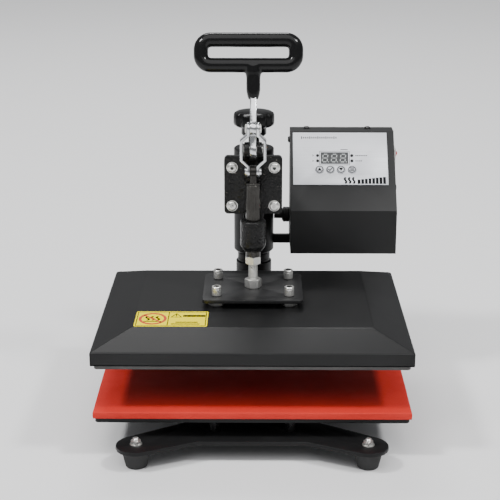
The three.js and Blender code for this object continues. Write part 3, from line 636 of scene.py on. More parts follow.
# %% platen cover
bm = cad_copy("platen_cover")
round_folds(bm, 2.2, 12.0, 30.0)
cover = piece_from(bm, "platen_cover_finished", cover_black)
weigh = cover.modifiers.new("flat faces stay flat", "WEIGHTED_NORMAL")
weigh.mode = "FACE_AREA"
weigh.weight = 100
settle(cover, "ram", ["platen_cover"])
print("cover faces:", len(cover.data.polygons))

# %% [markdown]
# ## Pieces that keep their CAD shape
# Some solids are mostly hidden inside others, such as the shaft, the upper bush, the insulation
# and the board. Their shape is right as it is, so they only get their finish.

# %% pieces that keep their CAD shape
for node, finish in (
    ("pivot_shaft", oiled_steel),
    ("upper_bush", bronze),
    ("insulation", mineral_wool),
    ("controller_board", board_green),
):
    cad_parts[node].material_slots[0].material = finish
    print(node, "->", finish.name)

# %% [markdown]
# ## Feet, screws and standoffs
# The press stands on four tapered rubber bumpers, each held by a screw whose nut shows on top
# of the leg. Turned parts like these are drawn as half outlines and spun round an axis. A nut
# starts as a chamfered disc and loses six slices to a bisecting plane, which leaves the curved
# corners that a real nut has. Threads are rings at the true pitch.


# %% nut and thread helpers
CHAMFER_SLOPE = 0.55


def hexagonal(bm, across_flats, z0, z1, bore=0.0, place=Matrix(), chamfer=1.0):
    """A hexagon nut or bolt head with chamfered corners, in millimetres."""
    corner_radius = across_flats / math.sqrt(3)
    fall = chamfer * CHAMFER_SLOPE
    profile = [(bore, z0), (corner_radius - chamfer, z0), (corner_radius, z0 + fall)]
    profile += [(corner_radius, z1 - fall), (corner_radius - chamfer, z1), (bore, z1)]
    if bore:
        profile.append((bore, z0))
    disc = bmesh.new()
    spun(disc, profile, 60)
    bmesh.ops.remove_doubles(disc, verts=disc.verts, dist=MERGE_DISTANCE)
    for side in range(6):
        normal = Matrix.Rotation(math.radians(60 * side + 30), 3, "Z") @ Vector((1, 0, 0))
        everything = disc.verts[:] + disc.edges[:] + disc.faces[:]
        cut = bmesh.ops.bisect_plane(
            disc, geom=everything, dist=1e-8, plane_co=normal * across_flats / 2 * MM,
            plane_no=normal, clear_outer=True,
        )["geom_cut"]
        bmesh.ops.edgeloop_fill(disc, edges=only(bmesh.types.BMEdge, cut))
    add_part(bm, disc, place)


def thread_profile(radius, z0, z1, pitch, depth):
    """The outline of a threaded stretch, from low to high."""
    turns = max(1, round((z1 - z0) / pitch))
    step = (z1 - z0) / turns
    points = [(radius - depth, z0)]
    for turn in range(turns):
        points.append((radius, z0 + step * (turn + 0.4)))
        points.append((radius, z0 + step * (turn + 0.6)))
        points.append((radius - depth, z0 + step * (turn + 1)))
    return points


def socket_screw_head(bm, outer, top, socket_flats, depth, place=Matrix()):
    """A round head whose outline stops at the top's flat rim, closed by a hexagon socket."""
    head = bmesh.new()
    spun(head, outer, 48)
    hole = socket_flats / math.sqrt(3)
    spun(head, [(0, top - depth), (hole, top - depth), (hole, top)], 6)
    bmesh.ops.remove_doubles(head, verts=head.verts, dist=MERGE_DISTANCE)
    rims = [
        edge for edge in head.edges
        if edge.is_boundary and all(abs(end.co.z - top * MM) < SAME_SPOT for end in edge.verts)
    ]
    bmesh.ops.bridge_loops(head, edges=rims)
    add_part(bm, head, place)


print("nut and thread helpers are ready")

# %% feet and their screws
CORNERS = (("front_left", -1, -1), ("front_right", 1, -1), ("rear_left", -1, 1), ("rear_right", 1, 1))
FOOT_X, FOOT_Y, BASE_TOP = 110.2, 152.5, 22.0
foot_outline = [
    (0, 0), (6.5, 0), (7.0, 0.7), (9.0, 0.7), (9.6, 0.1), (10.3, 0.9), (12.2, 9.0), (13.8, 16.2),
    (14.2, 16.6), (14.2, 17.8), (0, 17.8),
]
screw_outline = [(0, -14), (3, -14)] + thread_profile(3.0, -13.8, 0.1, 1.0, 0.45)[1:] + [
    (2.6, 0.2), (5.9, 0.2), (5.9, 0.9), (2.6, 0.9),
] + thread_profile(2.9, 3.4, 6.4, 0.75, 0.4) + [(2.1, 7.0), (0, 7.0)]
for name, x, y in CORNERS:
    place = at(x * FOOT_X, y * FOOT_Y, 0)
    turned_piece(f"foot_{name}", foot_outline, foot_rubber, "base", place, 64, 0.25)
    bm = bmesh.new()
    top = at(x * FOOT_X, y * FOOT_Y, BASE_TOP)
    spun(bm, screw_outline, 40, top)
    twist = Matrix.Rotation(math.radians(17 + 23 * x + 11 * y), 4, "Z")
    hexagonal(bm, 9.0, 0.95, 4.2, 0.0, top @ twist, 0.7)
    drawn_piece(bm, f"foot_screw_{name}", zinc, "base")
print("feet: 4, with their screws")

# %% standoffs between the base and the lower platen
STANDOFF_X, STANDOFF_Y = 36.5, {-1: -120.0, 1: 95.0}
standoff_foot = [(0, -7), (2.6, -7), (3, -6.5), (3, 0.2), (5.9, 0.2), (5.9, 1.4), (0, 1.4)]
for name, x, y in CORNERS:
    place = at(x * STANDOFF_X, STANDOFF_Y[y], BASE_TOP)
    bm = bmesh.new()
    spun(bm, standoff_foot, 40, place)
    hexagonal(bm, 10.0, 1.5, 14.2, 0.0, place @ Matrix.Rotation(0.3 * x, 4, "Z"), 0.5)
    spun(bm, [(0, 14.3), (5.9, 14.3), (5.9, 15.8), (0, 15.8)], 40, place)
    hexagonal(bm, 10.0, -6.9, -4.2, 0.0, place, 0.7)
    drawn_piece(bm, f"standoff_{name}", blackened_steel, "base")
print("standoffs: 4")

# %% [markdown]
# ## The red pad
# The garment lies on a slab of silicone sponge. Sponge isn't flat like plate: its cut edges
# bulge a little at mid height, its top is faintly uneven and its corners are soft. A grid with
# enough rows can carry that, so the slab is a subdivided block whose points are moved by smooth
# waves of a few tenths of a millimetre, and a small bevel softens the cut.

# %% the red pad
PAD_WIDTH, PAD_DEPTH, PAD_THICKNESS, PAD_TOP, PLATEN_Y = 305.0, 245.0, 7.5, 50.0, -18.0
LAYERS, BELLY, CUT_WAVE = 5, 0.35, 0.18
TOP_SINK, TOP_WAVE, RIM_SAG, RIM_REACH = 0.18, 0.10, 0.45, 3.0
bm = bmesh.new()
bmesh.ops.create_grid(bm, x_segments=76, y_segments=62, size=0.5)
bmesh.ops.scale(bm, vec=(PAD_WIDTH * MM, PAD_DEPTH * MM, 1.0), verts=bm.verts)
sheet_faces = bm.faces[:]
for layer in range(LAYERS):
    grown = bmesh.ops.extrude_face_region(bm, geom=sheet_faces)["geom"]
    lift = (0, 0, PAD_THICKNESS * MM / LAYERS)
    bmesh.ops.translate(bm, vec=lift, verts=only(bmesh.types.BMVert, grown))
    if layer:
        bmesh.ops.delete(bm, geom=sheet_faces, context="FACES_ONLY")
    sheet_faces = only(bmesh.types.BMFace, grown)
half_width, half_depth = PAD_WIDTH * MM / 2, PAD_DEPTH * MM / 2
for point in bm.verts:
    x, y, z = point.co
    height = z / (PAD_THICKNESS * MM)
    hollow = BELLY * (1 - math.sin(math.pi * height))
    if abs(abs(x) - half_width) < SAME_SPOT:
        point.co.x -= math.copysign((hollow + CUT_WAVE * math.sin(37 * y)) * MM, x)
    if abs(abs(y) - half_depth) < SAME_SPOT:
        point.co.y -= math.copysign((hollow + CUT_WAVE * math.sin(31 * x + 1)) * MM, y)
    if height > 0.99:
        wave = math.sin(41 * x + 0.6) * math.sin(47 * y) + 0.5 * math.sin(93 * x + 71 * y)
        edge = min(half_width - abs(x), half_depth - abs(y))
        sag = RIM_SAG * math.exp(-max(edge, 0) / (RIM_REACH * MM))
        point.co.z -= (TOP_SINK + TOP_WAVE * wave + sag) * MM
bm.transform(at(0, PLATEN_Y, PAD_TOP - PAD_THICKNESS))
pad = piece_from(bm, "silicone_pad", silicone_red)
rounded(pad, 0.7, 3, 40.0)
settle(pad, "base", ["foam_pad"])
print("pad faces:", len(pad.data.polygons))

# %% [markdown]
# ## Post, sleeve and knob
# The head swings on a post: a painted tube, a bush whose blackened collar carries the weight,
# and a sleeve with chamfered ends. The lock knob on top is moulded with a scalloped rim, so that
# fingers can grip it. It is spun as a plain disc, and then the rim's points are drawn in at
# eight scallops.

# %% post and sleeve
POST_Y = 132.0
post_place = at(0, POST_Y, 0)
turned_piece(
    "post_tube",
    [(13, 22.2), (24.0, 22.2), (24.0, 22.7), (21.4, 24.0), (20.3, 26.0), (19.8, 28.5), (19.8, 116),
     (13, 116), (13, 22.2)],
    satin_black, "base", post_place, 80, 0.5,
)
turned_piece(
    "flanged_bush",
    [(13, 116.2), (17.2, 116.2), (18, 117), (18, 119.6), (17.6, 120), (18, 120.4), (18, 126.3),
     (17.2, 127.1), (15, 127.1), (15, 157.1), (13, 157.1), (13, 116.2)],
    satin_black, "base", post_place, 80, 0.25,
)
turned_piece(
    "swing_sleeve",
    [(15.2, 127.3), (19.1, 127.3), (22.1, 130.3), (22.1, 136.4), (21.8, 136.8), (22.1, 137.2),
     (22.1, 245.3), (21.1, 246.3), (15.2, 246.3), (15.2, 127.3)],
    satin_black, "swing_head", post_place, 80, 0.6,
)
print("post, bush and sleeve are turned")

# %% lock knob
SCALLOPS, SCALLOP_DEPTH, SHOULDER_RADIUS, KNOB_RADIUS = 8, 0.12, 18.5, 23.0
bm = bmesh.new()
knob_outline = [
    (0, 226.3), (6, 226.3), (6, 259.5), (11.8, 259.5), (13.8, 261.5), (13.8, 268.2), (14.6, 269.6),
    (19.4, 270.4), (22.2, 272.4), (23.0, 275.0), (23.0, 281.2), (22.2, 284.2), (19.0, 286.2),
    (13.0, 287.4), (6.5, 287.9), (0, 288.0),
]
spun(bm, knob_outline, 144)
for point in bm.verts:
    radius = math.hypot(point.co.x, point.co.y)
    share = (radius / MM - SHOULDER_RADIUS) / (KNOB_RADIUS - SHOULDER_RADIUS)
    if share > 0:
        turn = math.atan2(point.co.y, point.co.x)
        scallop = max(0.0, math.cos(SCALLOPS * turn)) ** 1.2
        shrink = 1 - SCALLOP_DEPTH * scallop * share
        point.co.x *= shrink
        point.co.y *= shrink
bm.transform(post_place)
knob = piece_from(bm, "lock_knob_finished", moulded_black)
rounded(knob, 0.5, 2, 40.0)
settle(knob, "knob", ["lock_knob"])
print("knob faces:", len(knob.data.polygons))

# %% [markdown]
# ## Clamp screws and pins
# Four domed socket screws hold the casting to the arm. Their heads are turned as an open dome,
# and the hexagon socket is a second, six-sided spin whose rim is bridged to the dome's. The
# pins have round, slightly domed heads.

# %% clamp screws and pins
CLAMP_Y, PIVOT_Z, UPPER_PIN_Z, LOWER_PIN_Z = -13.0, 276.5, 297.5, 254.0
FLANGE_FRONT, FLANGE_MIDDLE_Z, SCREW_X, SCREW_Z = -1.0, 235.4, 21.3, 19.9
dome = [
    (0, -12), (3.1, -12), (3.1, 0.2), (5.7, 0.2), (5.7, 0.7), (5.1, 0.75), (5.1, 1.4), (4.95, 2.1),
    (4.5, 2.8), (3.9, 3.3), (3.1, 3.5),
]
for number, (name, x, z) in enumerate(CORNERS, 1):
    spot = at(x * SCREW_X, FLANGE_FRONT, FLANGE_MIDDLE_Z + z * SCREW_Z)
    place = spot @ TO_FRONT @ Matrix.Rotation(0.4 * number, 4, "Z")
    bm = bmesh.new()
    socket_screw_head(bm, dome, 3.5, 3.4, 2.0, place)
    drawn_piece(bm, f"clamp_screw_{number}", zinc, "swing_head", 35)


def headed_pin(reach, head, head_inner):
    """The outline of a pin with a domed head at each end."""
    half = [(head, head_inner), (head, reach - 0.9), (head - 0.9, reach - 0.15)]
    half += [(head * 0.4, reach), (0, reach)]
    mirrored = [(radius, -height) for radius, height in reversed(half)]
    return mirrored + [(3.0, -head_inner), (3.0, head_inner)] + half


for node, pin, body, z in (
    ("lever_pivot_pin", headed_pin(10.2, 5.0, 8.9), "swing_head", PIVOT_Z),
    ("link_pin_upper", headed_pin(8.2, 4.6, 6.3), "lever", UPPER_PIN_Z),
):
    turned_piece(node, pin, zinc, body, at(0, CLAMP_Y, z) @ TO_X, 40, 0.2)
print("4 clamp screws and 2 pins")

# %% [markdown]
# ## The loop grip
# The grip is a bar bent into a long loop, welded to a shank and dipped in vinyl. One circle is
# pushed along each side in turn and spun a quarter turn at each of the four tight corners.
# The shank is turned with a flare where the weld is. A voxel remesh then joins both skins the
# way the thick dip does, and smoothing draws a fillet into the joint.

# %% the loop grip
LEVER_LEAN = math.radians(18)
TUBE, LOW_RAIL, HIGH_RAIL, HALF_LOOP, LOOP_OFFSET = 7.3, 83.8, 109.1, 54.6, -4.9
GRIP_BOTTOM, LOOP_BEND = 49.6, 9.6
lever_place = at(0, CLAMP_Y, PIVOT_Z) @ Matrix.Rotation(-LEVER_LEAN, 4, "X")

bm = bmesh.new()
section = bmesh.ops.create_circle(bm, segments=32, radius=TUBE * MM)["verts"]
corner_x = HALF_LOOP - TUBE - LOOP_BEND
bmesh.ops.transform(bm, matrix=at(LOOP_OFFSET - corner_x, 0, LOW_RAIL) @ TO_X, verts=section)
ring_edges = bm.edges[:]
low_corner, high_corner = LOW_RAIL + LOOP_BEND, HIGH_RAIL - LOOP_BEND
sides = (
    ((2 * corner_x, 0, 0), (corner_x, low_corner)),
    ((0, 0, high_corner - low_corner), (corner_x, high_corner)),
    ((-2 * corner_x, 0, 0), (-corner_x, high_corner)),
    ((0, 0, low_corner - high_corner), (-corner_x, low_corner)),
)
for run, (corner_at_x, corner_at_z) in sides:
    pushed = bmesh.ops.extrude_edge_only(bm, edges=ring_edges)["geom"]
    points = only(bmesh.types.BMVert, pushed)
    bmesh.ops.translate(bm, vec=Vector(run) * MM, verts=points)
    edges = only(bmesh.types.BMEdge, pushed)
    rim = [edge for edge in edges if all(end in points for end in edge.verts)]
    turned = bmesh.ops.spin(
        bm, geom=points + rim, cent=((LOOP_OFFSET + corner_at_x) * MM, 0, corner_at_z * MM),
        axis=(0, -1, 0), dvec=(0, 0, 0), angle=math.pi / 2, steps=14,
        use_merge=False, use_duplicate=False,
    )["geom_last"]
    ring_edges = only(bmesh.types.BMEdge, turned)
shank_foot = ((0, 0), (4.4, 0), (5.0, 0.6), (6.3, 5), (7.0, 9))
shank_flare = ((7.0, 13), (7.3, 10.5), (8.4, 7), (8.4, 0), (0, 0))
shank = [(radius, GRIP_BOTTOM + up) for radius, up in shank_foot]
shank += [(radius, LOW_RAIL - down) for radius, down in shank_flare]
spun(bm, shank, 40)
bm.transform(lever_place)
grip = piece_from(bm, "dipped_loop_grip", dipped_vinyl)
grip.data.remesh_voxel_size = 0.9 * MM
grip.data.use_remesh_fix_poles = True
bpy.context.view_layer.objects.active = grip
grip.select_set(True)
bpy.ops.object.voxel_remesh()
grip.select_set(False)
bm = bmesh.new()
bm.from_mesh(grip.data)
every_axis = {"use_axis_x": True, "use_axis_y": True, "use_axis_z": True}
for step in range(6):
    bmesh.ops.smooth_vert(bm, verts=bm.verts, factor=0.5, **every_axis)
bm.to_mesh(grip.data)
bm.free()
grip.data.polygons.foreach_set("use_smooth", [True] * len(grip.data.polygons))
settle(grip, "lever", ["lever_grip"])
print("grip faces:", len(grip.data.polygons))

# %% [markdown]
# ## Plunger, bolt and nuts
# The plunger slides in the casting's barrel. Its lower end takes a threaded bolt, and two lock
# nuts set the pressure: one against the plunger and one on the hanger plate. Four cap screws
# with knurled heads hold the plate to the cover, over hexagon nuts. Knurling is a ring of fine
# ribs, made by drawing in every second edge of the head.

# %% plunger, bolt and nuts
TONGUE = 3.2
bm = bmesh.new()
clamp_place = at(0, CLAMP_Y, 0)
plunger_outline = [
    (5.0, 200), (5.0, 166.3), (6.85, 166.3), (7.45, 166.9), (7.45, 240.4), (7.2, 240.8), (7.45, 241.2),
    (7.45, 242.4), (6.6, 243.2), (0, 243.2), (0, 200), (5.0, 200),
]
spun(bm, plunger_outline, 64, clamp_place)
eye = [(0, -TONGUE), (6.1, -TONGUE), (6.5, 0.4 - TONGUE)]
eye += [(6.5, TONGUE - 0.4), (6.1, TONGUE), (0, TONGUE)]
spun(bm, eye, 40, at(0, CLAMP_Y, LOWER_PIN_Z) @ TO_X)
block(bm, (2 * TONGUE, 11, 12), at(0, CLAMP_Y, 248))
drawn_piece(bm, "plunger", oiled_steel, "ram")

HANGER_BOTTOM, HANGER_TOP, PLATEAU, NUT_FLATS = 129.4, 132.8, 123.2, 15
bm = bmesh.new()
bolt = [(0, 130), (4.6, 130), (4.6, 133)] + thread_profile(4.8, 133.2, 166.2, 1.5, 0.75)
bolt += [(4.0, 190), (0, 190)]
spun(bm, bolt, 48, clamp_place)
twist = Matrix.Rotation(0.2, 4, "Z")
hexagonal(bm, NUT_FLATS, PLATEAU + 0.2, HANGER_BOTTOM - 0.2, 0.0, clamp_place @ twist)
drawn_piece(bm, "center_bolt", zinc, "ram")
for node, z0, z1, turn in (
    ("lock_nut_lower", 133.0, 141.8, 0.12),
    ("lock_nut_upper", 158.4, 166.1, 0.55),
):
    bm = bmesh.new()
    hexagonal(bm, NUT_FLATS, z0, z1, 5.0, clamp_place @ Matrix.Rotation(turn, 4, "Z"), 1.2)
    drawn_piece(bm, node, zinc, "ram")
print("plunger, centre bolt and lock nuts")

# %% hanger bolts
HANGER_X, HANGER_Y, HEAD_RADIUS, HEAD_HEIGHT = 36.5, 27.2, 4.8, 9.7
KNURL_RIBS, KNURL_DEPTH, KNURL_LOW, KNURL_HIGH = 48, 0.03, 133.2, 140
head_top = HANGER_TOP + HEAD_HEIGHT
cap = [(0, 100), (3, 100), (3, 133), (4.4, 133), (HEAD_RADIUS, 133.4), (HEAD_RADIUS, 139.8)]
cap += [(4.55, 140.1), (HEAD_RADIUS, 140.4), (HEAD_RADIUS, head_top - 0.6)]
cap += [(HEAD_RADIUS - 0.6, head_top), (3.5, head_top)]
for name, x, y in CORNERS:
    place = at(x * HANGER_X, CLAMP_Y + y * HANGER_Y, 0)
    bm = bmesh.new()
    socket_screw_head(bm, cap, head_top, 5.0, 4.2, Matrix.Rotation(0.3 * x + 0.2 * y, 4, "Z"))
    for point in bm.verts:
        radius = math.hypot(point.co.x, point.co.y)
        if radius > (HEAD_RADIUS - 0.1) * MM and KNURL_LOW * MM < point.co.z < KNURL_HIGH * MM:
            turn = math.atan2(point.co.y, point.co.x) / (2 * math.pi)
            rib = 1 - KNURL_DEPTH * (round(turn * KNURL_RIBS) % 2)
            point.co.x *= rib
            point.co.y *= rib
    bm.transform(place)
    twist = Matrix.Rotation(0.35 + 0.4 * x - 0.25 * y, 4, "Z")
    hexagonal(bm, NUT_FLATS, PLATEAU + 0.25, HANGER_BOTTOM - 0.2, 0.0, place @ twist)
    drawn_piece(bm, f"hanger_bolt_{name}", zinc, "ram", 28)
print("4 hanger bolts")

# %% [markdown]
# ## Glands and the box's mounting rod
# Two turned plastic glands mark where cables would enter: one on the back of the cover, one on
# the back of the box. The box hangs from the sleeve on a painted rod with a round nut.

# %% glands and mounting rod
COVER_BACK, BOX_BACK = 105.0, 144.0
turned_piece(
    "platen_gland",
    [(0, 1.7), (4.4, 1.7), (4.4, -0.3), (6, -0.3), (6, -5), (5, -5.9), (4.6, -7.4), (4.9, -7.8),
     (4.4, -9.2), (4.6, -9.6), (4.0, -12), (2.4, -12), (2.2, -11), (2.2, 0.6), (0, 0.6)],
    moulded_black, "ram", at(90, COVER_BACK, 103.4) @ TO_FRONT, 40, 0.2,
)
turned_piece(
    "cord_inlet",
    [(0, 7.8), (8.8, 7.8), (8.8, 4), (6, 4), (6, -0.3), (9.5, -0.3), (9.5, -4), (7, -5.4), (6.4, -8),
     (6.8, -8.5), (5.9, -11), (6.2, -11.5), (5.0, -15), (3.6, -15), (3.4, -14), (3.4, 2), (0, 2)],
    moulded_black, "swing_head", at(120, BOX_BACK, 165) @ TO_FRONT, 48, 0.2,
)
turned_piece(
    "box_mount_rod",
    [(0, 22.6), (4.5, 22.6), (4.5, 31.4), (6.9, 31.4), (6.9, 32.3), (7.9, 32.5), (8.5, 33.1),
     (8.5, 35.4), (8.1, 35.8), (8.5, 36.2), (8.5, 38.7), (7.9, 39.3), (4, 39.3), (4, 46.4), (0, 46.4)],
    satin_black, "swing_head", at(0, POST_Y, 169.4) @ TO_X, 56, 0.25,
)
print("2 glands and the rod")

# %% [markdown]
# ## The control panel
# Everything printed or set into the sloping face is drawn flat, x across and y up the slope, and
# then laid on it by one matrix. Printed marks are real shapes 0.08 mm thick, so they stay crisp
# at any distance and need no picture file. The marks are generic: triangles, a tick, a menu
# sign, a heat sign, a ruler and bars, with no lettering.

# %% the sloping face
BOX_FRONT, BOX_FOLD, BOX_RIDGE, BOX_TOP = 57.0, 194.0, 122.0, 266.5
SLOPE = math.atan2(BOX_TOP - BOX_FOLD, BOX_RIDGE - BOX_FRONT)
slope = at(0, BOX_FRONT, BOX_FOLD) @ Matrix.Rotation(SLOPE, 4, "X")
PANEL_TOP, INK, PEN_OVERRUN = 0.8, 0.08, 0.6


def stroke(bm, points, width, z, place=slope):
    """A printed line through points, as wide as a pen, from z to z plus the ink's thickness."""
    for (x0, y0), (x1, y1) in zip(points, points[1:]):
        length = math.hypot(x1 - x0, y1 - y0) + width * PEN_OVERRUN
        turn = Matrix.Rotation(math.atan2(y1 - y0, x1 - x0), 4, "Z")
        middle = at((x0 + x1) / 2, (y0 + y1) / 2, z + INK / 2)
        block(bm, (length, width, INK), place @ middle @ turn)


def patch(bm, sides, radius, x, y, z, turn=0.0):
    """A printed regular shape, such as a dot or a triangle."""
    size = {"radius1": radius * MM, "radius2": radius * MM, "depth": INK * MM}
    disc = bmesh.ops.create_cone(bm, cap_ends=True, segments=sides, **size)["verts"]
    place = slope @ at(x, y, z + INK / 2) @ Matrix.Rotation(turn, 4, "Z")
    bmesh.ops.transform(bm, matrix=place, verts=disc)


def printed_ring(bm, outer, inner, x, y, z, place=slope, stretch=(1, 1)):
    shape = Matrix.Diagonal((stretch[0], stretch[1], 1, 1))
    outline = [(inner, 0), (outer, 0), (outer, INK), (inner, INK), (inner, 0)]
    spun(bm, outline, 48, place @ at(x, y, z) @ shape)


def heat_curl(x, y, sway, rise):
    """A wavy line upwards from a point, as in a sign for heat."""
    return [(x + sway * math.sin(step * math.pi / 4), y + step * rise) for step in range(9)]


def print_piece(bm, name, ink, body):
    return settle(piece_from(bm, name, ink, 30), body)


print(f"slope {math.degrees(SLOPE):.1f} degrees")

# %% push buttons and their icons
BUTTON_X, BUTTON_ALONG, BUTTON_RADIUS, BUTTON_TOP = (70.9, 82.5, 94.0, 105.9), 49.3, 4.4, 1.8
button_outline = [(0, -5.4), (BUTTON_RADIUS, -5.4), (BUTTON_RADIUS, 1.35)]
button_outline += [(4.15, BUTTON_TOP), (3.9, BUTTON_TOP), (0, BUTTON_TOP)]


def draw_icon(bm, number, x, y):
    z = BUTTON_TOP
    if number in (1, 3):
        patch(bm, 3, 2.7, x, y - 0.5 * (2 - number), z, 0.0 if number == 1 else math.pi)
    elif number == 2:
        stroke(bm, [(x - 2.0, y), (x - 0.6, y - 1.6), (x + 2.1, y + 1.6)], 1.1, z)
    else:
        for row in (-1.6, 0.0, 1.6):
            stroke(bm, [(x - 1.9, y + row), (x + 1.9, y + row)], 0.95, z)


for number, x in enumerate(BUTTON_X, 1):
    name = f"button_{number}"
    place = slope @ at(x, BUTTON_ALONG, 0)
    turned_piece(name, button_outline, silver_key, name, place, 48, 0.15)
    bm = bmesh.new()
    printed_ring(bm, 3.95, 3.15, x, BUTTON_ALONG, BUTTON_TOP)
    draw_icon(bm, number, x, BUTTON_ALONG)
    print_piece(bm, f"{name}_icon", black_ink, name)
print("4 buttons")

# %% display window and digits
WINDOW_LEFT, WINDOW_RIGHT, WINDOW_LOW, WINDOW_HIGH = 72.8, 101.7, 56.7, 70.2
finished_from_cad("display_module", smoked_window, "swing_head", 0.2)

DIGIT_HEIGHT, DIGIT_WIDTH, SEGMENT, LEAN = 9.4, 5.2, 1.05, 0.12
CORNER_GAP, BAR_THICKNESS, DOT_ACROSS, DOT_RADIUS = 0.35, 0.06, 3.6, 0.6
lean = Matrix.Identity(4)
lean[0][1] = LEAN
segment_places = (
    (0, 1, 0), (0, 0, 0), (0, -1, 0), (-1, 0.5, 1), (1, 0.5, 1), (-1, -0.5, 1), (1, -0.5, 1),
)
bm = bmesh.new()
middle = (WINDOW_LOW + WINDOW_HIGH) / 2
for digit in range(3):
    centre = WINDOW_LEFT + (digit + 0.5) * (WINDOW_RIGHT - WINDOW_LEFT) / 3 - 0.5
    for across, up, upright in segment_places:
        reach = (DIGIT_HEIGHT / 2 if upright else DIGIT_WIDTH) - CORNER_GAP
        long = reach / 2 - SEGMENT * 0.1
        x = across * DIGIT_WIDTH / 2
        y = up * DIGIT_HEIGHT / 2
        place = slope @ at(centre, middle, PANEL_TOP + 0.02) @ lean
        spin = math.pi / 2 if upright else 0.0
        size = {"radius1": 0.5, "radius2": 0.5, "depth": 1.0}
        bar = bmesh.ops.create_cone(bm, cap_ends=True, segments=6, **size)["verts"]
        for point in bar:
            tip = abs(point.co.y) < 0.01
            point.co.x = math.copysign(long if tip else long - SEGMENT / 2, point.co.x) * MM
            point.co.y = (0 if tip else math.copysign(SEGMENT / 2, point.co.y)) * MM
            point.co.z *= BAR_THICKNESS * MM
        place = place @ at(x, y, 0) @ Matrix.Rotation(spin, 4, "Z")
        bmesh.ops.transform(bm, matrix=place, verts=bar)
    dot_y = middle - DIGIT_HEIGHT / 2
    patch(bm, 16, DOT_RADIUS, centre + DOT_ACROSS, dot_y, PANEL_TOP + 0.01)
print_piece(bm, "display_digits", segment_grey, "swing_head")

# %% panel print, frame and indicator lights
MARK_ROWS, LIGHT_COLUMNS = (66.5, 60.0), (69.0, 106.0)
RULER_LEFT, RULER_ALONG, HEAT_LEFT, BARS_LEFT, PRINT_FRONT = 52.0, 88.6, 98.5, 113.0, 33.0
bm = bmesh.new()
frame_outline = [(71.2, 55.1), (103.3, 55.1), (103.3, 71.8), (71.2, 71.8), (71.2, 55.1)]
stroke(bm, frame_outline, 0.4, PANEL_TOP)
for y, dashes in zip(MARK_ROWS, (7, 4)):
    for dash in range(dashes):
        start = 110.0 + 1.9 * dash
        stroke(bm, [(start, y), (start + 0.9, y)], 0.9, PANEL_TOP)
for y in MARK_ROWS:
    stroke(bm, [(63.4, y - 0.9), (64.6, y), (63.4, y + 0.9)], 0.45, PANEL_TOP)
for tick in range(18):
    height = 2.6 if tick % 4 == 0 else 1.5
    start = RULER_LEFT + 2.2 * tick
    ends = [(start, RULER_ALONG - height / 2), (start, RULER_ALONG + height / 2)]
    stroke(bm, ends, 1.0, PANEL_TOP)
stroke(bm, [(94.0, 73.8), (101.5, 73.8)], 0.7, PANEL_TOP)
for wave in range(3):
    stroke(bm, heat_curl(HEAT_LEFT + 4.4 * wave, PRINT_FRONT, 0.9, 0.8), 2.0, PANEL_TOP)
for bar in range(8):
    height = 3.4 + 0.45 * bar
    start = BARS_LEFT + 3.9 * bar
    stroke(bm, [(start, PRINT_FRONT), (start, PRINT_FRONT + height)], 3.0, PANEL_TOP)
print_piece(bm, "panel_print", black_ink, "swing_head")

bm = bmesh.new()
lens = [(0, 0), (1.7, 0), (1.7, 0.35), (1.45, 0.75), (0.9, 0.98), (0, 1.05)]
for x in LIGHT_COLUMNS:
    for y in MARK_ROWS:
        spun(bm, lens, 32, slope @ at(x, y, PANEL_TOP))
print_piece(bm, "indicator_lights", moulded_black, "swing_head")
print("display, print and 4 lights")

# %% [markdown]
# ## Box screws
# The folded box is held by small pan-head screws with a crossed recess. A cross can't be spun,
# so each head is turned and two thin bars are cut out of it with a Boolean modifier, which is
# applied at once so that the finished mesh is one closed shell.

# %% box screws
pan_head = [(0, -2.5), (1.4, -2.5), (1.4, 0), (3.6, 0), (3.6, 0.7), (3.2, 1.5), (2.2, 2.05), (0, 2.2)]
BOX_LEFT = 39.5
screw_places = [
    at(58, 137, BOX_TOP), at(125, 137, BOX_TOP),
    at(BOX_LEFT, 137, 254) @ Matrix.Rotation(math.radians(-90), 4, "Y"),
    at(BOX_RIGHT, 92, 211) @ TO_X,
    at(BOX_RIGHT, 137, 158) @ TO_X,
]
heads, slots_cut = bmesh.new(), bmesh.new()
for number, place in enumerate(screw_places):
    spun(heads, pan_head, 36, place)
    for quarter in (0, 90):
        turn = Matrix.Rotation(math.radians(quarter + 31 * number), 4, "Z")
        block(slots_cut, (3.4, 0.7, 1.9), place @ turn @ at(0, 0, 1.85))
box_screws = piece_from(heads, "box_screws", blackened_steel, 35)
cutter = piece_from(slots_cut, "screw_slot_cutter", zinc)
cut = box_screws.modifiers.new("crossed recess", "BOOLEAN")
cut.operation = "DIFFERENCE"
cut.solver = "EXACT"
cut.use_self = True
cut.object = cutter
bpy.context.view_layer.update()
evaluated = box_screws.evaluated_get(bpy.context.evaluated_depsgraph_get())
carved = bpy.data.meshes.new_from_object(evaluated)
box_screws.modifiers.clear()
box_screws.data = carved
bpy.data.objects.remove(cutter)
settle(box_screws, "swing_head")
print("box screws:", len(screw_places))

# %% [markdown]
# ## The yellow label
# A vinyl label sits on the front left corner of the cover. It is a thin sheet with rounded
# corners, and its generic print is a heat sign in a crossed ring, a border, a triangle and plain
# bars. The label and its print are separate pieces, as ink and vinyl are.

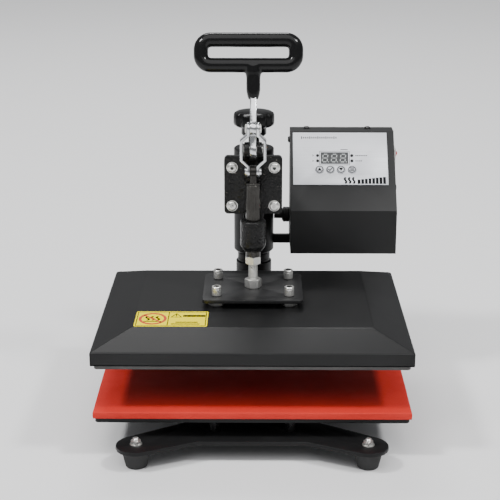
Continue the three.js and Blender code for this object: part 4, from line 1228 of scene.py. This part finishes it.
# %% the yellow label
LABEL_LEFT, LABEL_RIGHT, LABEL_FRONT, LABEL_BACK, COVER_TOP = -114.6, -43.8, -104.6, -62.4, 123.2
VINYL, VINYL_GAP, LABEL_CORNER, INK_BASE, RED_BASE = 0.16, 0.02, 2, 0.18, 0.27
flat = at(0, 0, COVER_TOP)
label_middle = ((LABEL_LEFT + LABEL_RIGHT) / 2, (LABEL_FRONT + LABEL_BACK) / 2)
bm = bmesh.new()
block(bm, (LABEL_RIGHT - LABEL_LEFT, LABEL_BACK - LABEL_FRONT, VINYL))
uprights = [edge for edge in bm.edges if abs(edge.verts[0].co.z - edge.verts[1].co.z) > SAME_SPOT]
bend = {"offset": LABEL_CORNER * MM, "segments": 5, "profile": 0.5}
bmesh.ops.bevel(bm, geom=uprights, affect="EDGES", material=-1, **bend)
bm.transform(at(*label_middle, COVER_TOP + VINYL_GAP + VINYL / 2))
# The label's vinyl finish carries the faint painted glow.
settle(piece_from(bm, "cover_label", label_yellow_painted_glow, 30), "ram")

bm = bmesh.new()
x0, x1, y0, y1 = LABEL_LEFT + 1.8, LABEL_RIGHT - 1.8, LABEL_FRONT + 2.2, LABEL_BACK - 2.2
divider = x0 + 30.5
stroke(bm, [(x0, y0), (x1, y0), (x1, y1), (x0, y1), (x0, y0)], 0.85, INK_BASE, flat)
stroke(bm, [(divider, y0), (divider, y1)], 0.85, INK_BASE, flat)
ring_x, ring_y = (x0 + divider) / 2, (y0 + y1) / 2
for wave in (-1, 0, 1):
    stroke(bm, heat_curl(ring_x + 5 * wave, ring_y - 4, 1.5, 1.3), 2.0, INK_BASE, flat)
stroke(bm, [(ring_x - 8, ring_y - 7.5), (ring_x + 8, ring_y - 7.5)], 1.8, INK_BASE, flat)
sign_x, sign_y = divider + 7.5, y1 - 9.5
for line in (
    [(-5, -4.5), (5, -4.5), (0, 5.5), (-5, -4.5)],
    [(0, -0.8), (0, 2.6)],
    [(0, -2.6), (0, -2.4)],
):
    stroke(bm, [(sign_x + across, sign_y + up) for across, up in line], 1.0, INK_BASE, flat)
for bar in range(4):
    left = divider + 15.5 + 5.2 * bar
    stroke(bm, [(left, sign_y - 1.0), (left + 3.4, sign_y - 1.0)], 5.0, INK_BASE, flat)
for row, (left, right) in enumerate(((8, 30), (4, 33))):
    y = y0 + 9.5 - 5.0 * row
    for dash in range(int((right - left) / 3.1)):
        start = divider + left + 3.1 * dash
        stroke(bm, [(start, y), (start + 1.8, y)], 2.1, INK_BASE, flat)
print_piece(bm, "label_print", black_ink, "ram")

bm = bmesh.new()
printed_ring(bm, 13.6, 11.0, ring_x, ring_y, RED_BASE, flat, (1.0, 1.18))
stroke(bm, [(ring_x - 8.6, ring_y + 10), (ring_x + 8.6, ring_y - 10)], 1.9, RED_BASE, flat)
print_piece(bm, "label_ring", red_ink, "ram")
print("label with its print")

# %% [markdown]
# ## Floor, backdrop and light
# A plain pale floor runs far enough back to fill the view. Two softboxes stand high, left and
# right, which puts a pair of highlights on the loop and on each screw. A third hangs over the
# floor behind the press and brightens the backdrop. A wide ceiling light and a pale world keep
# the floor even and the shadows soft.

# %% floor, backdrop and light
floor_paint = bpy.data.materials.new("studio_floor")
floor_paint.use_nodes = True
floor_inputs = floor_paint.node_tree.nodes["Principled BSDF"].inputs
floor_inputs["Base Color"].default_value = (0.80, 0.80, 0.805, 1)
floor_inputs["Roughness"].default_value = 0.75
bm = bmesh.new()
bmesh.ops.create_circle(bm, cap_ends=True, segments=96, radius=14.0)
floor = piece_from(bm, "studio_floor", floor_paint)


def softbox(name, place, target, width, height, watts):
    light = bpy.data.lights.new(name, "AREA")
    light.shape = "RECTANGLE"
    light.size, light.size_y = width, height
    light.energy = watts
    lamp = bpy.data.objects.new(name, light)
    lamp.location = place
    lamp.rotation_euler = (Vector(target) - Vector(place)).to_track_quat("-Z", "Y").to_euler()
    bpy.context.scene.collection.objects.link(lamp)


softbox("left softbox", (-1.25, -0.7, 2.0), (0, 0, 0.3), 0.36, 0.3, 34)
softbox("right softbox", (1.25, -0.7, 2.0), (0, 0, 0.3), 0.36, 0.3, 30)
softbox("backdrop softbox", (-0.3, 1.7, 2.6), (-0.2, 1.5, 0), 1.6, 0.5, 40)
ceiling_light = bpy.data.lights.new("ceiling light", "SUN")
ceiling_light.energy = 1.75
ceiling_light.angle = math.radians(60)
ceiling = bpy.data.objects.new("ceiling light", ceiling_light)
ceiling.rotation_euler = (math.radians(27), 0, 0)
bpy.context.scene.collection.objects.link(ceiling)
world = bpy.data.worlds.new("studio")
bpy.context.scene.world = world
world.use_nodes = True
sky = world.node_tree.nodes["Background"].inputs
sky["Color"].default_value = (0.80, 0.81, 0.83, 1)
sky["Strength"].default_value = 0.36
print("floor, 3 softboxes, a ceiling light and a pale world")
